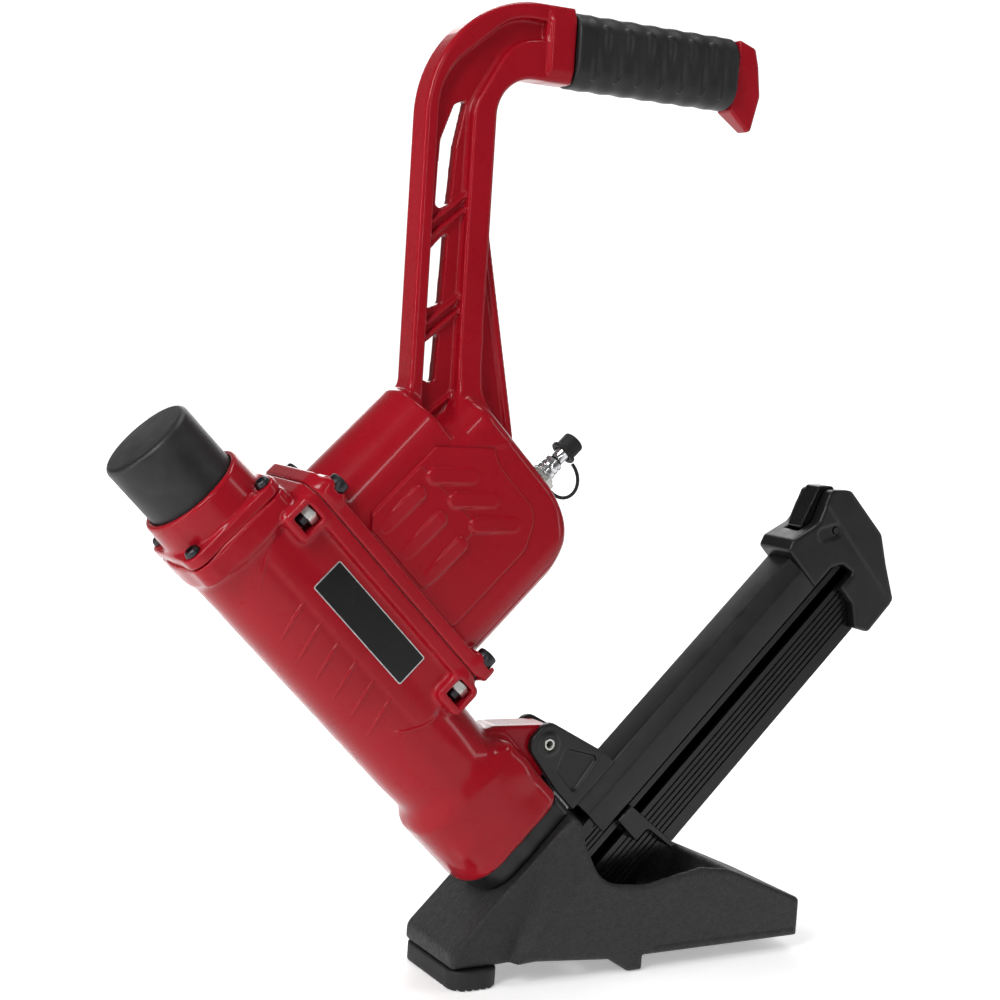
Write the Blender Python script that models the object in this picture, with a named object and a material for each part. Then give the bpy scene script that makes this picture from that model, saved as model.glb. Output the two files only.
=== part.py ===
"""Mallet-struck pneumatic flooring nailer, as an assembly of its separate pieces.

Every size below is in millimetres, and each mesh is scaled to metres as it is made.
Two frames are used. The floor frame has X along the floor, from the front foot towards the
magazine, and Z up from the floor. The drive frame is tilted with the tool: u runs down the drive
axis from the top of the strike cap, v is square to it, towards the handle and the magazine, and
y is the floor frame's own Y, across the tool.
"""

import math

import bmesh
import bpy
from mathutils import Matrix, Vector

MM = 0.001
GAP = 0.3                      # air between two pieces that touch

# Whole tool
TILT = math.radians(45)        # drive axis below the horizontal
DRIVE_LENGTH = 490.7           # cap top to floor, along the drive axis
DRIVE_FOOT_X = 139.1           # where the drive axis meets the floor, from the front foot's corner
MIDDLE_X = 65.3                # middle of the tool's length, from the front foot's corner

# Strike cap, plunger and head valve
CAP_RADIUS = 30.0
CAP_SHOWN = 42.0
CAP_INSERT = 9.5
CAP_WALL = 7.0
STRIKE_TRAVEL = 10.0
STEM_RADIUS = 8.0
VALVE_RADIUS = 23.5
VALVE_LENGTH = 12.0

# Collar that closes the head
COLLAR_WALL = 3.6
COLLAR_WEB = 7.0
HEAD_HALF = 36.5
HEAD_CORNER = 11.0
HEAD_SEAM = 70.0
COLLAR_FLANGE = 8.0
COLLAR_SCREW_PITCH = 28.8      # each screw from the axis, in v and in y

# Barrel casting and what slides in it
BARREL_FRONT = -36.8
BARREL_REAR = 37.6
BARREL_HALF = 34.0
BARREL_BORE = 29.0
BORE_END = 262.0
NOSE_END = 360.0
NOSE_LENGTH = 58.0
NOSE_FRONT = -40.5
NOSE_REAR = 41.0
NOSE_HALF = 31.0
NOSE_POCKET = 20.0
SLEEVE_RADIUS = 25.5
SLEEVE_BORE = 22.5
SLEEVE_TOP = 112.0
BUMPER_LENGTH = 18.0
PISTON_LENGTH = 18.0
DRIVER_TRAVEL = 80.0
BLADE_WIDTH = 12.0
BLADE_THICKNESS = 3.2
BLADE_TIP = 405.0

# Seam between barrel and handle housing
SEAM_V = 47.0
GASKET = 1.0
FLANGE_TOP_U = 78.0
FLANGE_END_U = 255.0
FLANGE_HALF = 41.0
FLANGE_CORNER = 14.0
FLANGE_THICKNESS = 8.5
BOLT_UPPER_U = 93.1
BOLT_LOWER_U = 246.6
BOLT_HALF = 34.0
BOLT_RADIUS = 4.0
SOCKET_HEAD_RADIUS = 6.5
SOCKET_HEAD_HEIGHT = 8.0
NUT_V = 33.0
NUT_POCKET_WIDTH = 13.4
NUT_FLATS = 12.0
NUT_HEIGHT = 6.5
PAD_HALF = 33.6
WINDOW_HALF = 17.0
PLATE_UPPER_U = 128.3
PLATE_LOWER_U = 215.0
PLATE_LOW_V = 9.2
PLATE_HIGH_V = 32.4
PLATE_THICKNESS = 0.8

# Handle housing: an air chamber, the post, the bend and the arm, in one casting
CHAMBER_UPPER_U = 87.5
CHAMBER_LOWER_U = 247.0
CHAMBER_TOP_V = 170.0
CHAMBER_HALF = 32.0
CHAMBER_FRONT_TOP_V = 138.0
CHAMBER_STEP_U = 121.0
CHAMBER_END_RADIUS = 28.0
CHAMBER_WALL = 4.5
POST_FRONT_X = -41.8
POST_REAR_X = 8.0
POST_HALF = 10.5
POST_FOOT_Z = 352.0
ARM_TOP_Z = 629.0
ARM_BOTTOM_Z = 581.0
BEND_OUTER = 77.0
BEND_INNER = 25.0
ARM_END_X = 60.0
WEB_HALF = 4.0
FRAME_EDGE = 3.0
FRONT_RIB = 8.0
REAR_RIB = 15.0
SLOT_WIDTH = 11.0
GUSSET_HALF = 3.5
GUSSET_TOP_Z = 489.0
GUSSET_FOOT_X = 38.0

# Grip
GRIP_CORE_INSET = 5.5
GRIP_CORE_HALF = 10.0
GRIP_START_X = 60.6
GRIP_END_X = 186.0
GRIP_HALF = 17.0
GRIP_BULGE = 0.5
END_CAP_TIP_X = 209.5
END_CAP_HALF = 14.0
HOOK_BOTTOM_Z = 566.5

# Air inlet
INLET_U = 203.6
INLET_HEX_FLATS = 19.0
INLET_HEX_LENGTH = 9.0
PLUG_HEX_FLATS = 14.0
PLUG_RADIUS = 6.5
PLUG_NECK_RADIUS = 4.6
PLUG_LENGTH = 30.0
DUST_CAP_RADIUS = 7.6
DUST_CAP_LENGTH = 13.0
TETHER_RADIUS = 1.2

# Nose block, magazine bracket and pivot pin
NOSE_BLOCK_THICKNESS = 14.2
GUIDE_HALF = 12.0
GUIDE_FRONT_V = -12.0
GUIDE_REAR_V = 24.0
GUIDE_END_U = 462.0
PIN_U = 335.3
PIN_V = 61.3
PIN_RADIUS = 4.0
LUG_HALF = 11.5
LUG_RADIUS = 10.0
EAR_RADIUS = 12.5
EAR_THICKNESS = 4.5
BRACKET_FOOT_U = 383.4
BRACKET_REAR_V = 88.0

# Magazine
COVER_TOP_U = 383.7
COVER_EDGE_U = 412.6
COVER_HALF = 17.0
COVER_CROWN_HALF = 12.5
COVER_WALL = 2.6
COVER_FRONT_V = 50.0
COVER_REAR_V = 283.0
RAIL_TOP_U = 399.0
RAIL_BOTTOM_U = 467.5
RAIL_HALF = 10.0
RAIL_WALL = 2.6
RAIL_FRONT_V = 26.0
RAIL_REAR_V = 328.0
TRACK_UPPER_U = 423.0
TRACK_WIDTH = 8.0
PUSHER_FRONT_V = 63.0
PUSHER_LENGTH = 16.0
PUSHER_TRAVEL = 205.0
PUSHER_TAB_REACH = 7.5
END_BLOCK_HALF = 18.0
END_BLOCK_REAR_V = 351.5
END_BLOCK_BOTTOM_U = 473.5
LATCH_PIN_U = 394.5
LATCH_PIN_V = 322.5
LATCH_PIN_RADIUS = 2.5
LATCH_HALF = 7.5

# Base casting
BASE_HALF = 42.5
BASE_WALL = 5.5
BASE_REAR_X = 273.0
BASE_REAR_Z = 37.0
SOLE_Z = 10.0
SOLE_THICKNESS = 5.0
SOLE_FRONT_X = 150.0
FOOT_LENGTH = 35.0
FOOT_HALF = 38.0
FOOT_HEIGHT = 13.2
LIP_FRONT_X = 131.5
LIP_REAR_X = 142.5
LIP_GAP_HALF = 13.0
ARCH_X = 140.0
ARCH_Z = 61.0

ROUND = 32                     # sides of a large turned piece
SMALL_ROUND = 12               # sides of a screw or pin


# ---------------------------------------------------------------- frames

def vu_y(v, u, y):
    """Drive frame: outline in v and u, depth along y."""
    return (v, y, -u)


def vy_u(v, y, u):
    """Drive frame: outline in v and y, depth along u."""
    return (v, y, -u)


def uy_v(u, y, v):
    """Drive frame: outline in u and y, depth along v."""
    return (v, y, -u)


def xz_y(x, z, y):
    """Floor frame: outline in x and z, depth along y."""
    return (x, y, z)


def xy_z(x, y, z):
    """Floor frame: outline in x and y, depth along z."""
    return (x, y, z)


def offset(place, first, second):
    """The same frame with its outline's origin moved."""
    return lambda a, b, c: place(a + first, b + second, c)


def floor_point(v, u):
    """A drive-frame point of the middle plane, as x and z of the floor frame."""
    along = u - DRIVE_LENGTH
    x = DRIVE_FOOT_X + along * math.cos(TILT) + v * math.sin(TILT)
    return x, v * math.cos(TILT) - along * math.sin(TILT)


def empty(name, location, rotation=(0, 0, 0), parent=None):
    holder = bpy.data.objects.new(name, None)
    bpy.context.scene.collection.objects.link(holder)
    holder.location = Vector(location) * MM
    holder.rotation_euler = rotation
    holder.parent = parent
    return holder


# ---------------------------------------------------------------- outlines

def rounded(corners, steps=5):
    """An outline from corners (a, b, radius), each turned into an arc of that radius."""
    outline = []
    for index, (a, b, radius) in enumerate(corners):
        here = Vector((a, b))
        if not radius:
            outline.append((a, b))
            continue
        back = (Vector(corners[index - 1][:2]) - here).normalized()
        ahead = (Vector(corners[(index + 1) % len(corners)][:2]) - here).normalized()
        half = back.angle(ahead) / 2
        centre = here + (back + ahead).normalized() * radius / math.sin(half)
        start = here + back * radius / math.tan(half) - centre
        end = here + ahead * radius / math.tan(half) - centre
        first = math.atan2(start.y, start.x)
        sweep = (math.atan2(end.y, end.x) - first + math.pi) % (2 * math.pi) - math.pi
        for step in range(steps + 1):
            angle = first + sweep * step / steps
            outline.append((centre.x + radius * math.cos(angle), centre.y + radius * math.sin(angle)))
    return outline


def rectangle(low_a, high_a, low_b, high_b, radius=0.0, steps=5):
    return rounded([(low_a, low_b, radius), (high_a, low_b, radius),
                    (high_a, high_b, radius), (low_a, high_b, radius)], steps)


def circle(radius, sides=SMALL_ROUND, centre=(0, 0)):
    return [(centre[0] + radius * math.cos(2 * math.pi * k / sides),
             centre[1] + radius * math.sin(2 * math.pi * k / sides)) for k in range(sides)]


def hexagon(flats, centre=(0, 0)):
    """A hexagon with two of its flats square to the first axis."""
    reach = flats / math.sqrt(3)
    return [(centre[0] + reach * math.cos(math.radians(60 * k + 30)),
             centre[1] + reach * math.sin(math.radians(60 * k + 30))) for k in range(6)]


# ---------------------------------------------------------------- solids

def to_mesh(name, bm):
    bmesh.ops.remove_doubles(bm, verts=bm.verts, dist=0.001)
    bmesh.ops.connect_verts_nonplanar(bm, angle_limit=math.radians(0.05), faces=bm.faces)
    bmesh.ops.recalc_face_normals(bm, faces=bm.faces)
    bmesh.ops.scale(bm, vec=(MM, MM, MM), verts=bm.verts)
    mesh = bpy.data.meshes.new(name)
    bm.to_mesh(mesh)
    bm.free()
    return mesh


def loft(name, rings):
    """A solid through rings of points, closed by a face at each end."""
    bm = bmesh.new()
    loops = [[bm.verts.new(point) for point in ring] for ring in rings]
    count = len(loops[0])
    for lower, upper in zip(loops, loops[1:]):
        for k in range(count):
            following = (k + 1) % count
            bm.faces.new((lower[k], lower[following], upper[following], upper[k]))
    bm.faces.new(loops[0])
    bm.faces.new(loops[-1])
    return to_mesh(name, bm)


def prism(name, outline, low, high, place):
    """A straight solid: an outline swept from low to high."""
    return loft(name, [[place(a, b, depth) for a, b in outline] for depth in (low, high)])


def turned(name, profile, place, sides=ROUND):
    """A turned solid: a closed profile of (radius, depth), swept around the depth axis."""
    bm = bmesh.new()
    rings = []
    for radius, depth in profile:
        if radius == 0:
            rings.append([bm.verts.new(place(0, 0, depth))] * sides)
            continue
        rings.append([bm.verts.new(place(a, b, depth)) for a, b in circle(radius, sides)])
    closed = profile[0][0] > 0
    pairs = list(zip(rings, rings[1:])) + ([(rings[-1], rings[0])] if closed else [])
    for one, other in pairs:
        for k in range(sides):
            following = (k + 1) % sides
            corners = list(dict.fromkeys((one[k], one[following], other[following], other[k])))
            if len(corners) > 2:
                bm.faces.new(corners)
    return to_mesh(name, bm)


def wire(name, points, radius, parent, closed=False, roundness=0):
    """A round wire along points, with filled ends."""
    curve = bpy.data.curves.new(name, "CURVE")
    curve.dimensions = "3D"
    curve.bevel_depth = radius * MM
    curve.bevel_resolution = roundness
    curve.use_fill_caps = True
    spline = curve.splines.new("POLY")
    spline.points.add(len(points) - 1)
    for target, point in zip(spline.points, points):
        target.co = (*(Vector(point) * MM), 1)
    spline.use_cyclic_u = closed
    obj = bpy.data.objects.new(name, curve)
    bpy.context.scene.collection.objects.link(obj)
    obj.parent = parent
    return obj


def coil(radius, start, end, turns, place, steps=12):
    """Points of a helix around the depth axis."""
    points = []
    for k in range(int(turns * steps) + 1):
        angle = 2 * math.pi * k / steps
        depth = start + (end - start) * k / (turns * steps)
        points.append(place(radius * math.cos(angle), radius * math.sin(angle), depth))
    return points


# ---------------------------------------------------------------- objects

FINISHES = {                   # colour, roughness, metallic
    "red": ((0.42, 0.012, 0.022), 0.30, 0.0),
    "rubber": ((0.020, 0.020, 0.022), 0.55, 0.0),
    "black_cast": ((0.022, 0.022, 0.024), 0.62, 0.0),
    "black_satin": ((0.016, 0.016, 0.018), 0.38, 0.0),
    "black_gloss": ((0.006, 0.006, 0.007), 0.12, 0.0),
    "steel": ((0.42, 0.42, 0.44), 0.35, 1.0),
    "zinc": ((0.62, 0.63, 0.62), 0.38, 1.0),
    "chrome": ((0.80, 0.80, 0.82), 0.10, 1.0),
    "gasket": ((0.10, 0.09, 0.08), 0.85, 0.0),
    "urethane": ((0.30, 0.17, 0.05), 0.50, 0.0),
}


def finish(obj, kind):
    colour, roughness, metallic = FINISHES[kind]
    material = bpy.data.materials.new(obj.name + "_finish")
    material.use_nodes = True
    shader = material.node_tree.nodes["Principled BSDF"]
    shader.inputs["Base Color"].default_value = (*colour, 1)
    shader.inputs["Roughness"].default_value = roughness
    shader.inputs["Metallic"].default_value = metallic
    obj.data.materials.append(material)


def piece(name, mesh, kind, parent):
    """A visible piece of the tool."""
    mesh.shade_smooth()
    mesh.set_sharp_from_angle(angle=math.radians(35))
    obj = bpy.data.objects.new(name, mesh)
    bpy.context.scene.collection.objects.link(obj)
    obj.parent = parent
    finish(obj, kind)
    return obj


def combine(target, mesh, operation, bevel=0.0):
    """Cut a hidden shape out of a piece, or join it on."""
    tool = bpy.data.objects.new(f"{target.name}_{mesh.name}", mesh)
    bpy.context.scene.collection.objects.link(tool)
    tool.parent = target.parent
    tool.hide_render = True
    tool.display_type = "WIRE"
    if bevel:
        soften(tool, bevel)
    modifier = target.modifiers.new(mesh.name, "BOOLEAN")
    modifier.operation = operation
    modifier.object = tool


def cut(target, mesh, bevel=0.0):
    combine(target, mesh, "DIFFERENCE", bevel)


def join(target, mesh, bevel=0.0):
    combine(target, mesh, "UNION", bevel)


def soften(obj, width, segments=1):
    modifier = obj.modifiers.new("soft_edges", "BEVEL")
    modifier.width = width * MM
    modifier.segments = segments
    modifier.limit_method = "ANGLE"
    modifier.angle_limit = math.radians(50)


# ---------------------------------------------------------------- strike cap and collar

def cap_bottom():
    return CAP_SHOWN + CAP_INSERT


def plunger_head():
    """Depth of the plunger's head inside the cap, from the top of the cap."""
    return 14.0


def make_striker(axis):
    pocket = CAP_RADIUS - CAP_WALL
    edge = 4.0
    profile = [(0, 0), (CAP_RADIUS - edge, 0)]
    for step in range(1, 5):
        angle = math.pi / 8 * step
        profile.append((CAP_RADIUS - edge + edge * math.sin(angle), edge - edge * math.cos(angle)))
    profile += [(CAP_RADIUS, cap_bottom()), (pocket, cap_bottom()), (pocket, plunger_head()),
                (0, plunger_head())]
    piece("strike_cap", turned("cap", profile, vy_u, 40), "rubber", axis)

    head = plunger_head() + GAP
    valve_top = HEAD_SEAM + STRIKE_TRAVEL + 4.0
    valve_seat = valve_top + 4.0
    plunger = [(0, head), (pocket - GAP, head), (pocket - GAP, head + 5), (STEM_RADIUS, head + 6),
               (STEM_RADIUS, valve_top), (5.0, valve_top), (5.0, valve_seat + VALVE_LENGTH),
               (0, valve_seat + VALVE_LENGTH)]
    piece("strike_plunger", turned("plunger", plunger, vy_u), "steel", axis)

    bore = 5.0 + GAP
    valve = [(bore, valve_top + GAP), (VALVE_RADIUS - 3, valve_top + GAP), (VALVE_RADIUS, valve_top + 3),
             (VALVE_RADIUS, valve_seat + VALVE_LENGTH), (bore, valve_seat + VALVE_LENGTH)]
    piece("head_valve", turned("valve", valve, vy_u), "urethane", axis)

    spring_top = head + 6 + 1.6 + GAP
    spring_end = HEAD_SEAM - COLLAR_WEB - 1.6 - GAP
    points = coil(14.5, spring_top, spring_end, 5, vy_u)
    spring = wire("strike_spring", points, 1.3, axis)
    finish(spring, "steel")


def head_section(half, corner):
    return rectangle(-half, half, -half, half, corner)


def make_collar(axis):
    bore = CAP_RADIUS + 0.5
    outer = bore + COLLAR_WALL
    stem = STEM_RADIUS + GAP
    web_top = HEAD_SEAM - COLLAR_WEB
    profile = [(bore, CAP_SHOWN + 1.5), (bore + 1.5, CAP_SHOWN), (outer - 1.8, CAP_SHOWN),
               (outer - 0.4, CAP_SHOWN + 1.6), (outer + 0.4, CAP_SHOWN + 8), (outer + 1.2, HEAD_SEAM),
               (stem, HEAD_SEAM), (stem, web_top), (bore, web_top)]
    collar = piece("head_collar", turned("collar", profile, vy_u, 40), "red", axis)
    flange = prism("flange", head_section(HEAD_HALF, HEAD_CORNER), HEAD_SEAM - COLLAR_FLANGE,
                   HEAD_SEAM, vy_u)
    join(collar, flange, 1.2)
    inside = turned("inside", [(0, CAP_SHOWN - 5), (bore, CAP_SHOWN - 5), (bore, web_top), (0, web_top)],
                    vy_u, 40)
    cut(collar, inside)
    stem_hole = prism("stem_hole", circle(stem, 24), web_top - 2, HEAD_SEAM + 2, vy_u)
    cut(collar, stem_hole)
    seat = HEAD_SEAM - COLLAR_FLANGE
    number = 0
    for v_side in (-1, 1):
        for y_side in (-1, 1):
            number += 1
            v, y = v_side * COLLAR_SCREW_PITCH, y_side * COLLAR_SCREW_PITCH
            hole = prism(f"screw_hole_{number}", circle(2.8, 12, (v, y)), seat - 6, HEAD_SEAM + 2, vy_u)
            cut(collar, hole)
            relief = prism(f"relief_{number}", circle(6.2, 16, (v, y)), CAP_SHOWN + 6, seat, vy_u)
            cut(collar, relief)
            place = offset(vy_u, v, y)
            socket = 2.4
            screw = [(0, seat - 2.2), (socket, seat - 2.2), (socket, seat - 5), (3.4, seat - 5),
                     (4.8, seat - 3.4), (5.0, seat - GAP), (2.5, seat - GAP), (2.5, HEAD_SEAM + 14),
                     (0, HEAD_SEAM + 14)]
            piece(f"collar_screw_{number}", turned("screw", screw, place, SMALL_ROUND), "black_satin", axis)


# ---------------------------------------------------------------- barrel

def barrel_section(front, rear, half, front_radius, rear_radius):
    return rounded([(front, -half, front_radius), (rear, -half, rear_radius),
                    (rear, half, rear_radius), (front, half, front_radius)], 7)


def make_barrel(axis):
    top = HEAD_SEAM + GAP
    tube = (BARREL_FRONT, BARREL_REAR, BARREL_HALF, BARREL_HALF - 1, BARREL_HALF - 1)
    nose_start = NOSE_END - NOSE_LENGTH
    nose = (NOSE_FRONT, NOSE_REAR, NOSE_HALF, 27.0, 9.0)
    sections = [
        (top, (-HEAD_HALF, HEAD_HALF, HEAD_HALF, HEAD_CORNER, HEAD_CORNER)),
        (top + 20, (-HEAD_HALF, HEAD_HALF, HEAD_HALF, HEAD_CORNER + 4, HEAD_CORNER + 4)),
        (top + 30, tube),
        (nose_start - 10, tube),
        (nose_start + 4, (BARREL_FRONT - 2, BARREL_REAR + 2, BARREL_HALF, 30.0, 24.0)),
        (NOSE_END - 18, nose),
        (NOSE_END - 5, nose),
        (NOSE_END, (NOSE_FRONT + 3.5, NOSE_REAR - 2.5, NOSE_HALF - 3, 24.0, 7.0)),
    ]
    rings = [[vy_u(v, y, u) for v, y in barrel_section(*shape)] for u, shape in sections]
    barrel = piece("barrel_housing", loft("barrel", rings), "red", axis)

    seam = SEAM_V - GAP
    side = rectangle(FLANGE_TOP_U + 10, FLANGE_END_U - 6, -PAD_HALF, PAD_HALF, 6.0)
    join(barrel, prism("side_pads", side, -2.0, seam - 4, uy_v), 2.0)
    flange = rectangle(FLANGE_TOP_U, FLANGE_END_U, -FLANGE_HALF, FLANGE_HALF, FLANGE_CORNER)
    join(barrel, prism("seam_flange", flange, seam - FLANGE_THICKNESS, seam, uy_v))
    for end, bolt_u in (("upper", BOLT_UPPER_U), ("lower", BOLT_LOWER_U)):
        boss = rectangle(bolt_u - 11, bolt_u + 11, -FLANGE_HALF, FLANGE_HALF, 5.0)
        join(barrel, prism(f"{end}_bosses", boss, NUT_V - 12, seam - 4, uy_v))

    lug = rounded([(30, PIN_U - 40, 0), (NOSE_REAR + 2, PIN_U - 37, 4), (PIN_V + LUG_RADIUS, PIN_U - 7, 7),
                   (PIN_V + LUG_RADIUS, PIN_U + LUG_RADIUS, 8), (30, PIN_U + 18, 0)], 4)
    join(barrel, prism("lug", lug, -LUG_HALF, LUG_HALF, vu_y))
    cut(barrel, prism("pin_hole", circle(PIN_RADIUS + GAP, 16, (PIN_V, PIN_U)), -20, 20, vu_y))

    cut(barrel, prism("bore", circle(BARREL_BORE, 40), top - 2, BORE_END, vy_u))
    cut(barrel, prism("nose_pocket", circle(NOSE_POCKET, 32), BORE_END - 2, NOSE_END + 2, vy_u))
    window = rectangle(PLATE_UPPER_U - 12, PLATE_LOWER_U + 12, -WINDOW_HALF, WINDOW_HALF, 8.0)
    cut(barrel, prism("air_window", window, 15, SEAM_V + 2, uy_v))
    number = 0
    for bolt_u in (BOLT_UPPER_U, BOLT_LOWER_U):
        for side_of in (-1, 1):
            number += 1
            y = side_of * BOLT_HALF
            depth = BOLT_HALF - NUT_FLATS / math.sqrt(3) - GAP
            edges = sorted((side_of * depth, side_of * (FLANGE_HALF + 2)))
            half = NUT_FLATS / 2 + 0.5
            pocket = rectangle(bolt_u - half, bolt_u + half, *edges)
            cut(barrel, prism(f"nut_pocket_{number}", pocket, NUT_V - NUT_POCKET_WIDTH / 2,
                              NUT_V + NUT_POCKET_WIDTH / 2, uy_v))
            hole = circle(BOLT_RADIUS + GAP, 12, (bolt_u, y))
            cut(barrel, prism(f"bolt_hole_{number}", hole, NUT_V, SEAM_V + 2, uy_v))
    for v_side in (-1, 1):
        for y_side in (-1, 1):
            number += 1
            centre = (v_side * COLLAR_SCREW_PITCH, y_side * COLLAR_SCREW_PITCH)
            cut(barrel, prism(f"tap_{number}", circle(2.8, 12, centre), top - 2, HEAD_SEAM + 16, vy_u))

    outline = rectangle(PLATE_UPPER_U, PLATE_LOWER_U, PLATE_LOW_V, PLATE_HIGH_V, 0.8, 2)
    face = -PAD_HALF - GAP
    piece("name_plate", prism("plate", outline, face - PLATE_THICKNESS, face, lambda u, v, y: (v, y, -u)),
          "black_gloss", axis)


def make_engine(axis):
    """Cylinder sleeve, bumper, piston with its ring, and the driver blade."""
    bumper_top = BORE_END - GAP - BUMPER_LENGTH
    sleeve_end = bumper_top - GAP
    lip = BARREL_BORE - GAP
    sleeve = [(SLEEVE_BORE, SLEEVE_TOP), (SLEEVE_RADIUS, SLEEVE_TOP), (SLEEVE_RADIUS, sleeve_end - 8),
              (lip, sleeve_end - 8), (lip, sleeve_end), (SLEEVE_BORE, sleeve_end)]
    piece("cylinder_sleeve", turned("sleeve", sleeve, vy_u), "steel", axis)
    bumper = [(9.0, bumper_top), (lip, bumper_top), (lip, BORE_END - GAP), (9.0, BORE_END - GAP)]
    piece("piston_bumper", turned("bumper", bumper, vy_u), "urethane", axis)

    crown = SLEEVE_TOP + 8
    skirt = crown + PISTON_LENGTH
    radius = SLEEVE_BORE - 0.3
    groove = radius - 3.0
    piston = [(0, crown), (radius, crown), (radius, crown + 6), (groove, crown + 6),
              (groove, crown + 10.5), (radius, crown + 10.5), (radius, skirt), (0, skirt)]
    piece("piston", turned("piston", piston, vy_u), "steel", axis)
    ring = [(groove + GAP, crown + 6 + GAP), (radius + 0.1, crown + 6 + GAP),
            (radius + 0.1, crown + 10.5 - GAP), (groove + GAP, crown + 10.5 - GAP)]
    piece("piston_ring", turned("ring", ring, vy_u), "rubber", axis)
    blade = rectangle(-BLADE_THICKNESS / 2, BLADE_THICKNESS / 2, -BLADE_WIDTH / 2, BLADE_WIDTH / 2)
    piece("driver_blade", prism("blade", blade, skirt + GAP, BLADE_TIP, vy_u), "steel", axis)


# ---------------------------------------------------------------- seam fasteners

def make_seam(axis):
    outer = rectangle(FLANGE_TOP_U, FLANGE_END_U, -FLANGE_HALF, FLANGE_HALF, FLANGE_CORNER)
    gasket = piece("seam_gasket", prism("gasket", outer, SEAM_V, SEAM_V + GASKET, uy_v), "gasket", axis)
    window = rectangle(PLATE_UPPER_U - 14, PLATE_LOWER_U + 14, -WINDOW_HALF - 3, WINDOW_HALF + 3, 8.0)
    cut(gasket, prism("window", window, SEAM_V - 2, SEAM_V + GASKET + 2, uy_v))
    seat = SEAM_V + GASKET + GAP + FLANGE_THICKNESS
    number = 0
    for bolt_u in (BOLT_UPPER_U, BOLT_LOWER_U):
        for side in (-1, 1):
            number += 1
            y = side * BOLT_HALF
            hole = circle(BOLT_RADIUS + GAP, 12, (bolt_u, y))
            cut(gasket, prism(f"hole_{number}", hole, SEAM_V - 2, SEAM_V + GASKET + 2, uy_v))
            place = offset(uy_v, bolt_u, y)
            top = seat + GAP + SOCKET_HEAD_HEIGHT
            socket = 3.6
            bolt = [(0, top - 4), (socket, top - 4), (socket, top), (SOCKET_HEAD_RADIUS - 0.6, top),
                    (SOCKET_HEAD_RADIUS, top - 0.8), (SOCKET_HEAD_RADIUS, seat + GAP),
                    (BOLT_RADIUS, seat + GAP), (BOLT_RADIUS, NUT_V - NUT_HEIGHT / 2 - 1),
                    (0, NUT_V - NUT_HEIGHT / 2 - 1)]
            piece(f"flange_screw_{number}", turned("bolt", bolt, place, SMALL_ROUND), "black_satin", axis)
            nut = piece(f"flange_nut_{number}",
                        prism("nut", hexagon(NUT_FLATS, (bolt_u, y)), NUT_V - NUT_HEIGHT / 2 + 2.8,
                              NUT_V + NUT_HEIGHT / 2 + 2.8, uy_v), "zinc", axis)
            cut(nut, prism(f"thread_{number}", hole, NUT_V - 10, NUT_V + 12, uy_v))


# ---------------------------------------------------------------- handle housing

def housing_low_v():
    return SEAM_V + GASKET + GAP


def make_handle_housing(axis, floor):
    low = housing_low_v()
    flange = rectangle(FLANGE_TOP_U, FLANGE_END_U, -FLANGE_HALF, FLANGE_HALF, FLANGE_CORNER)
    housing = piece("handle_housing", prism("flange", flange, low, low + FLANGE_THICKNESS, uy_v),
                    "red", axis)
    rear_chamber = chamber_block("rear_chamber", CHAMBER_STEP_U, CHAMBER_LOWER_U, CHAMBER_HALF,
                                 CHAMBER_TOP_V, 8.0)
    join(housing, rear_chamber)
    front_chamber = chamber_block("front_chamber", CHAMBER_UPPER_U, CHAMBER_LOWER_U - 50,
                                  CHAMBER_HALF - 0.8, CHAMBER_FRONT_TOP_V, 5.0)
    join(housing, front_chamber)
    corner = rounded([(CHAMBER_TOP_V + 6, CHAMBER_LOWER_U - 38, 0),
                      (CHAMBER_TOP_V - 14, CHAMBER_LOWER_U - 8, 10),
                      (CHAMBER_TOP_V - 26, CHAMBER_LOWER_U + 4, 0),
                      (CHAMBER_TOP_V + 6, CHAMBER_LOWER_U + 4, 0)])
    cut(housing, prism("corner", corner, -FLANGE_HALF, FLANGE_HALF, vu_y))

    frame = handle_frame(floor)
    modifier = housing.modifiers.new("frame", "BOOLEAN")
    modifier.operation = "UNION"
    modifier.object = frame
    wall = CHAMBER_WALL
    front_room = rectangle(CHAMBER_UPPER_U + wall, CHAMBER_LOWER_U - wall, -CHAMBER_HALF + wall,
                           CHAMBER_HALF - wall, CHAMBER_END_RADIUS - wall)
    cut(housing, prism("front_room", front_room, low + 12, CHAMBER_FRONT_TOP_V - wall, uy_v))
    rear_room = rectangle(CHAMBER_STEP_U + wall, CHAMBER_LOWER_U - wall - 14, -CHAMBER_HALF + 12,
                          CHAMBER_HALF - 12, 10.0, 3)
    cut(housing, prism("rear_room", rear_room, CHAMBER_FRONT_TOP_V - wall - 6, CHAMBER_TOP_V - 12, uy_v))
    window = rectangle(PLATE_UPPER_U - 14, PLATE_LOWER_U + 14, -WINDOW_HALF - 3, WINDOW_HALF + 3, 8.0)
    cut(housing, prism("window", window, low - 2, low + 16, uy_v))
    inlet = circle(7.0, 16, (INLET_U, 0))
    cut(housing, prism("inlet", inlet, CHAMBER_TOP_V - 20, CHAMBER_TOP_V + 4, uy_v))
    number = 0
    for bolt_u in (BOLT_UPPER_U, BOLT_LOWER_U):
        for side in (-1, 1):
            number += 1
            centre = (bolt_u, side * BOLT_HALF)
            cut(housing, prism(f"bolt_hole_{number}", circle(BOLT_RADIUS + GAP, 12, centre), low - 2,
                               low + FLANGE_THICKNESS + 2, uy_v))
            cut(housing, prism(f"spot_face_{number}", circle(SOCKET_HEAD_RADIUS + 0.8, 16, centre),
                               low + FLANGE_THICKNESS, low + FLANGE_THICKNESS + 14, uy_v))


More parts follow.
